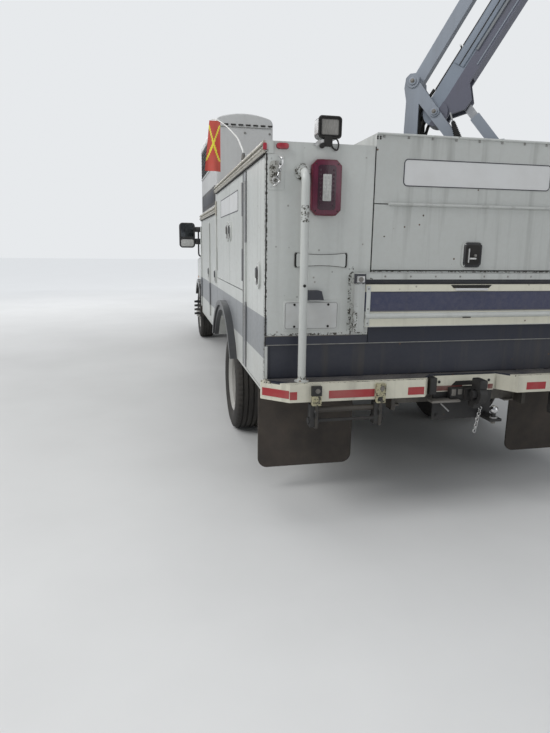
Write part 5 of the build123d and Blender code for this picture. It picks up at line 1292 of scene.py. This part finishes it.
def make_cab_door_trim(side, label):
    """Gasket, handle, mirror glass and strips of a cab door; the lower mirror's glass is a painted
    reflection.
    """
    door = Piece("cab_door_trim_" + label)
    window_gasket(door, side, ((5.045, 1.455), (5.045, 1.68), (5.045, 1.91), (5.345, 1.912), (5.59, 1.682),
                               (5.83, 1.455), (5.44, 1.452)))
    side_plate(door, side, 5.115, 1.325, 0.17, 0.075, 0.02, 0.004, "trim", 0.001, x=1.0)
    handle = ((1.002, 5.045), (1.026, 5.065), (1.03, 5.115), (1.026, 5.165), (1.002, 5.185))
    door.tube([(side * x, y, 1.332) for x, y in handle], 0.01, "trim", 8, 5)
    door.rod((side * 1.003, 5.225, 1.325), (side * 1.009, 5.225, 1.325), 0.011, "steel", 16, bevel=0.001)
    for z0, z1, look in ((1.402, 1.424, "trim"), (1.085, 1.13, "grey_trim")):
        door.box((side * 0.999, 4.99, z0), (side * 1.009, 5.968, z1), look, 0.003)
    x = side * 1.2675
    rear_plate(door, x, 5.8555, 1.757, 0.197, 0.2, 0.034, 0.003, "mirror", 0.001)
    # Painted reflection: the lower mirror's glass is a light grey lens plate.
    rear_plate(door, x, 5.8555, 1.573, 0.19, 0.11, 0.03, 0.003, "clear", 0.001)
    for z, high in ((1.757, 0.206), (1.573, 0.116)):
        rear_frame(door, x, 5.854, z, 0.204, high, 0.036, 0.006, "trim")
    door.box((side * 1.0, 5.86, 1.345), (side * 1.018, 5.945, 1.4), "trim", 0.006)
    for z0, z1 in ((1.735, 1.812), (1.552, 1.64)):
        door.box((side * 1.15, 5.872, z0), (side * 1.062, 5.922, z1), "trim", 0.014)
    door.done("cab_door_" + label, "dark_trim")


def make_cab_trim():
    """Window gaskets, rails, steps and roof lamps of the cab."""
    cab = Piece("cab_trim")
    for side in (-1, 1):
        window_gasket(cab, side, ((4.4, 1.452), (4.4, 1.68), (4.4, 1.914), (4.64, 1.916), (4.884, 1.914),
                                  (4.884, 1.68), (4.884, 1.452), (4.64, 1.45)))
        gutter = ((4.34, 2.0), (4.6, 2.012), (5.0, 2.012), (5.36, 2.004))
        cab.tube([(side * 0.8, y, z) for y, z in gutter], 0.009, "cab", 8, 6)
        cab.box((side * 0.999, 4.18, 1.085), (side * 1.009, 4.962, 1.13), "grey_trim", 0.003)
        side_plate(cab, side, 4.52, 1.25, 0.17, 0.17, 0.03, 0.003, "cab", 0.001, x=1.0)
        for k in range(3):
            cab.slab(side * 0.86, 0.17, (4.3 + 0.55 * k, 4.42 + 0.55 * k), (0.69, 0.702), "trim", 0.003)
    for x0, z0, x1, z1, place in ((0.82, 1.482, 0.692, 1.963, on_screen),
                                  (0.64, 1.522, 0.602, 1.908, on_rear_window)):
        x, z = (x0 + x1) / 2, (z0 + z1) / 2
        corners = ((-x0, z0), (-x, z), (-x1, z1), (0, z1), (x1, z1), (x, z), (x0, z0), (0, z0))
        sweep_round(cab, [place(*corner) for corner in corners], 0.013, "gasket", 8, True)
    for x in (-0.17, 0.17):
        cab.rod((x, 4.158, 1.522), (x, 4.249, 1.908), 0.008, "gasket", 8)
    for x in (-0.56, -0.16, 0.0, 0.16, 0.56):
        cab.slab(x, 0.045, (5.34, 5.392), (2.03, 2.064), "amber", 0.01)
        cab.slab(x, 0.052, (5.334, 5.4), (2.028, 2.043), "trim", 0.003)
    rear_plate(cab, 0, 4.262, 1.972, 0.26, 0.034, 0.012, 0.01, "red", 0.003)
    cab.done("truck", "dark_trim")


def make_nose_trim():
    """Lamps, tow hooks, wipers, chrome and a blank plate on the nose."""
    nose = Piece("nose_trim")
    for side in (-1, 1):
        x = side * 0.765
        front_plate(nose, x, 7.5458, 0.97, 0.205, 0.188, 0.022, 0.004, "clear", 0.002)
        for dx, r in ((-0.045, 0.038), (0.045, 0.034)):
            nose.ring((x + dx, 7.55, 0.985), FRONT, r, 0.004, "chrome", 26)
            nose.ball((x + dx, 7.548, 0.985), 0.016, "lamp_face", (1, 0.5, 1))
        front_plate(nose, x, 7.5495, 0.898, 0.186, 0.03, 0.01, 0.003, "amber", 0.001)
        side_plate(nose, side, 7.12, 1.0, 0.12, 0.03, 0.01, 0.006, "amber", 0.002, x=1.01)
        x = side * 0.62
        nose.rod((x, 7.679, 0.575), (x, 7.686, 0.575), 0.052, "clear", 28, bevel=0.002)
        nose.ring((x, 7.683, 0.575), FRONT, 0.054, 0.007, "grey_trim", 28)
        hook = ((7.672, 0.56), (7.715, 0.556), (7.738, 0.58), (7.715, 0.604), (7.69, 0.6))
        nose.tube([(side * 0.38, y, z) for y, z in hook], 0.011, "worn", 8, 5)
        nose.slab(side * 0.93, 0.13, (6.236, 6.248), (0.4, 0.76), "flap", 0.002)
        rib = ((1.05, 0.0), (1.07, 0.05), (1.153, 0.036), (1.15, 0.006))
        for k in range(4):
            rear_shape(nose, 6.254, [(side * x, 0.43 + 0.064 * k + z) for x, z in rib], 0.016, "trim", 0.003)
        nose.slab(side * 1.054, 0.006, (6.232, 6.258), (0.41, 0.76), "trim", 0.002)
        x = side * 0.33
        arm = ((side * 0.02 + 0.1, 1.452, 0.03), (side * 0.16 + 0.05, 1.5, 0.036), (x, 1.545, 0.022))
        nose.tube([on_screen(*place) for place in arm], 0.0065, "trim", 8, 5)
        nose.rod(on_screen(x - 0.27, 1.5, 0.014), on_screen(x + 0.25, 1.59, 0.014), 0.007, "gasket", 8)
    for k in range(12):
        nose.slab(-0.66 + 0.12 * k, 0.045, (6.02, 6.055), (1.4585, 1.464), "trim", 0.002)
    front_plate(nose, 0, 7.68, 0.572, 0.31, 0.158, 0.012, 0.004, "plate", 0.001)
    for cx, cz in CORNERS:
        bolt(nose, (cx * 0.09, 7.684, 0.575 + cz * 0.065), FRONT, 0.006)
    for z in (0.79, 1.086):
        nose.box((-0.628, 7.548, z - 0.007), (0.628, 7.562, z + 0.007), "chrome", 0.004)
    for x in (-0.45, 0.45):
        nose.slab(x, 0.02, (6.56, 6.59), (1.372, 1.384), "trim", 0.003)
    nose.done("truck", "dark_trim")


def make_bucket_details():
    """Lip, ribs, controls, blank plates and liner edge of the bucket."""
    piece = Piece("bucket_trim")
    turn = Matrix.Rotation(SLEW_ANGLE, 3, "Z")
    centre, top, side = -2.594, 6.776, 0.31

    def block(along, across, z, size, look, bevel=0.004):
        """A box in the boom's plane, turned with it."""
        place, half = boom_at(along, across, z), Vector(size) / 2
        piece.box(place - half, place + half, look, bevel, turn)

    edge = centre + side
    bands = ((0.002, 0.006, 0.015, "bucket"), (0.03, 0.003, 0.006, "grey_trim"),
             (0.33, 0.001, 0.008, "bucket"), (0.7, 0.001, 0.008, "bucket"), (1.06, 0.0, 0.009, "bucket"))
    for drop, grow, thick, look in bands:
        wide = 2 * (side - 0.035 * drop / 1.07 + grow)
        line = [boom_at(centre + a, b, top - drop) for a, b in rounded(wide, 2 * (side + grow), 0.072, 6)]
        sweep_round(piece, line, thick, look, 8, True)
    for across in (-1, 1):
        block(centre, across * 0.3105, top - 0.18, (0.34, 0.004, 0.12), "sign", 0.001)
        for k in range(4):
            block(centre - 0.18 + 0.12 * k, across * 0.311, top - 0.88, (0.05, 0.006, 0.2), "bucket", 0.002)
    block(edge + 0.04, 0.06, top + 0.01, (0.12, 0.28, 0.11), "grey_trim", 0.012)
    for k in range(4):
        place = boom_at(edge + 0.03, -0.03 + 0.06 * k, top + 0.06)
        piece.rod(place, place + Vector((0.006 * (k - 1.5), 0.008, 0.09)), 0.006, "steel", 10)
        piece.ball(place + Vector((0.006 * (k - 1.5), 0.008, 0.095)), 0.015, "trim")
    block(edge + 0.075, -0.15, top - 0.06, (0.09, 0.07, 0.16), "trim", 0.01)
    piece.ring(boom_at(edge + 0.01, -0.22, top - 0.12), (0.4, 0.3, 1), 0.026, 0.006, "steel", 20)
    block(centre - side - 0.012, 0, top - 0.6, (0.03, 0.26, 0.05), "grey_trim", 0.006)
    for across in (-0.07, 0.07):
        for drop in (0.16, 0.42):
            bolt(piece, boom_at(edge + 0.034, across, top - drop), BOOM_OUTWARD, 0.012)
    hose = ((0.09, 0.1, 0.04), (0.14, 0.11, 0.13), (0.15, 0.095, 0.24), (0.11, 0.092, 0.3))
    piece.tube([boom_at(edge + out, across, top - drop) for out, across, drop in hose], 0.011, "hose", 8, 8)
    piece.done("bucket", "dark_trim")


def make_chassis_details():
    """Spring clamps, deck rings, and the bolts of the pedestal's foot and top."""
    piece = Piece("chassis_fittings")
    for side in (-1, 1):
        for axle in (REAR_AXLE_Y, FRONT_AXLE_Y):
            for y in (axle - 0.07, axle + 0.07):
                for x in (0.346, 0.431):
                    piece.rod((side * x, y, 0.35), (side * x, y, 0.61), 0.008, "worn", 10)
                piece.rod((side * 0.346, y, 0.608), (side * 0.431, y, 0.608), 0.008, "worn", 10)
        for y in (0.9, 1.9, 2.9, 3.7):
            piece.ring((side * 0.52, y, 1.106), UP, 0.03, 0.006, "worn", 18, 6)
            piece.slab(side * 0.52, 0.018, (y + 0.022, y + 0.044), (1.098, 1.112), "worn", 0.003)
        for y in (SLEW_Y - 0.3, SLEW_Y + 0.3):
            for x in (0.275, 0.31):
                bolt(piece, (side * x, y, 1.128), UP, 0.012, "worn")
    for a, b in circle(16, 0.278, math.tau / 32):
        bolt(piece, (a, SLEW_Y + b, 1.909), (0, 0, -1), 0.01, "steel")
    piece.done("truck", "chassis_black")


def make_lower_boom_details():
    """Side plates, grooves, hoses and clamps of the lower boom."""
    arm = Piece("lower_boom_details")
    for across in (-1, 1):
        for low, high, off, depth, look, bevel in ((0.006, 0.072, 0.0652, 0.009, "boom_arm", 0.003),
                                                   (0.03, 0.036, 0.0742, 0.002, "gasket", 0.0)):
            ends = ((0.3, low), (0.3, high), (3.62, high), (3.62, low))
            outline = [on_lower(a, b, across * off) for a, b in ends]
            arm.plate(outline, BOOM_ACROSS * across, depth, look, bevel)
    for across in (-0.0665, 0.0665):
        for above in (-0.062, 0.05):
            arm.rod(on_lower(0.35, above, across), on_lower(3.65, above, across), 0.0045, "boom", 6)
        arm.rod(on_lower(0.42, -0.01, across), on_lower(3.55, -0.01, across), 0.01, "groove", 4)
    places = (0.12, 0.6, 1.2, 1.9, 2.6, 3.2, 3.75)
    for across, r in ((-0.035, 0.009), (-0.012, 0.009), (0.012, 0.007), (0.034, 0.011)):
        arm.tube([on_lower(a, 0.088 + 0.002 * math.sin(a * 9), across) for a in places], r, "hose", 8, 5)
    for a in (0.4, 1.1, 1.8, 2.5, 3.2):
        arm.rod(on_lower(a, 0.101, -0.06), on_lower(a, 0.101, 0.06), 0.006, "steel", 8)
        for c in (-0.052, 0.052):
            bolt(arm, on_lower(a, 0.081, c), on_lower(a, 1, c) - on_lower(a, 0, c), 0.008)
    arm.done("lower_boom", "boom_grey")


def make_turntable_details():
    """Pin ends, bolts, hoses and a boot on the turntable."""
    table = Piece("turntable_details")
    for pin, radius in ((LOWER_PIN, 0.022), (LINK_PIN, 0.024)):
        for side in (-1, 1):
            c = side * 0.12
            end = boom_at(pin[0], c + side * 0.008, pin[1])
            table.rod(boom_at(pin[0], c, pin[1]), end, radius, "boom", 20, bevel=0.002)
            bolt(table, boom_at(pin[0], c + side * 0.007, pin[1]), BOOM_ACROSS * side, 0.009, "worn")
    for a, b in circle(20, 0.275):
        bolt(table, (a, SLEW_Y + b, 2.0125), UP, 0.011, "steel")
    for k, (x0, x1) in enumerate(((-0.055, 0.02), (-0.03, 0.05), (0.0, 0.08), (0.03, 0.1))):
        c = -0.05 + 0.033 * k
        hose = ((x0 + 0.02, c, 2.04), (x0 + 0.01, c - 0.01, 2.18), (x0 + 0.03, c, 2.33),
                (x1 + 0.02, c + 0.01, 2.45), (x1 + 0.09, c, 2.55))
        table.tube([boom_at(*place) for place in hose], 0.011, "hose", 8, 6)
    boot, tip = boom_at(0.296, -0.145, 2.225), boom_at(0.257, -0.145, 2.325)
    table.rod(boot, tip, 0.02, "hose", 16, 0.011)
    for k in range(9):
        table.ring(boot.lerp(tip, k / 9), tip - boot, 0.021 - 0.01 * k / 9, 0.0035, "hose", 16, 6)
    table.rod(tip, boom_at(0.238, -0.145, 2.378), 0.005, "steel", 8)
    for across in (-0.072, 0.072):
        table.rod(boom_at(-0.03, across, 2.06), boom_at(-0.018, across, 2.5), 0.02, "worn", 14)
        table.rod(boom_at(0.03, across, 2.06), boom_at(0.02, across, 2.42), 0.014, "hose", 12)
    table.done("turntable", "boom_grey")


def make_knuckle_details():
    """Pin ends and their bolts on the knuckle."""
    joint = Piece("knuckle_details")
    for pin in ((2.1967, 5.7074), (2.0467, 5.9054), UPPER_PIN, (1.4497, 5.7504)):
        for side in (-1, 1):
            c = side * 0.124
            end = boom_at(pin[0], c + side * 0.012, pin[1])
            joint.rod(boom_at(pin[0], c, pin[1]), end, 0.028, "steel", 20, bevel=0.003)
            for a, b in circle(3, 0.038, 1.1):
                bolt(joint, boom_at(pin[0] + a, c, pin[1] + b), BOOM_ACROSS * side, 0.006)
    joint.done("knuckle", "boom_grey")


def make_upper_boom_details():
    """Edges, hoses and clamps of the upper boom."""
    upper = Piece("upper_boom_details")
    for across in (-0.0612, 0.0612):
        for above in (-0.056, 0.056):
            upper.rod(on_upper(0.45, above, across), on_upper(3.95, above, across), 0.0045, "boom", 6)
    places = (0.25, 0.9, 1.6, 2.3, 3.0, 3.6, 4.0)
    for across, r in ((-0.03, 0.009), (-0.008, 0.009), (0.016, 0.007), (0.036, 0.01)):
        upper.tube([on_upper(a, -0.083 + 0.002 * math.sin(a * 8), across) for a in places], r, "hose", 8, 5)
    for a in (0.6, 1.4, 2.2, 3.0, 3.8):
        upper.rod(on_upper(a, -0.096, -0.056), on_upper(a, -0.096, 0.056), 0.006, "steel", 8)
    upper.done("upper_boom", "boom_grey")


make_camera()
dress_nodes()
make_wheels()
for side, label in SIDES:
    make_tail_lamp(side, label)
    make_marker_lamps(side, label)
    make_rail_fittings(side, label)
make_rear_seams()
make_number_plate()
make_badges()
make_chain_hook()
make_work_lamp()
make_centre_box_trim()
make_hatch_latch()
make_tailgate_trim()
make_step_tread()
make_tape()
for side, label in SIDES:
    make_step_brackets(side, label)
    make_flap_bolts(side, label)
make_hitch_fittings()
for side, label in SIDES:
    make_door_latches(side, label)
    make_side_trim(side, label)
    make_side_signs(side, label)
make_housing()
make_whip()
make_flag()
make_lower_boom_details()
make_turntable_details()
make_knuckle_details()
make_upper_boom_details()
for side, label in SIDES:
    make_cab_door_trim(side, label)
make_cab_trim()
make_nose_trim()
make_bucket_details()
make_chassis_details()
make_floor()
make_lamps()
make_surround()
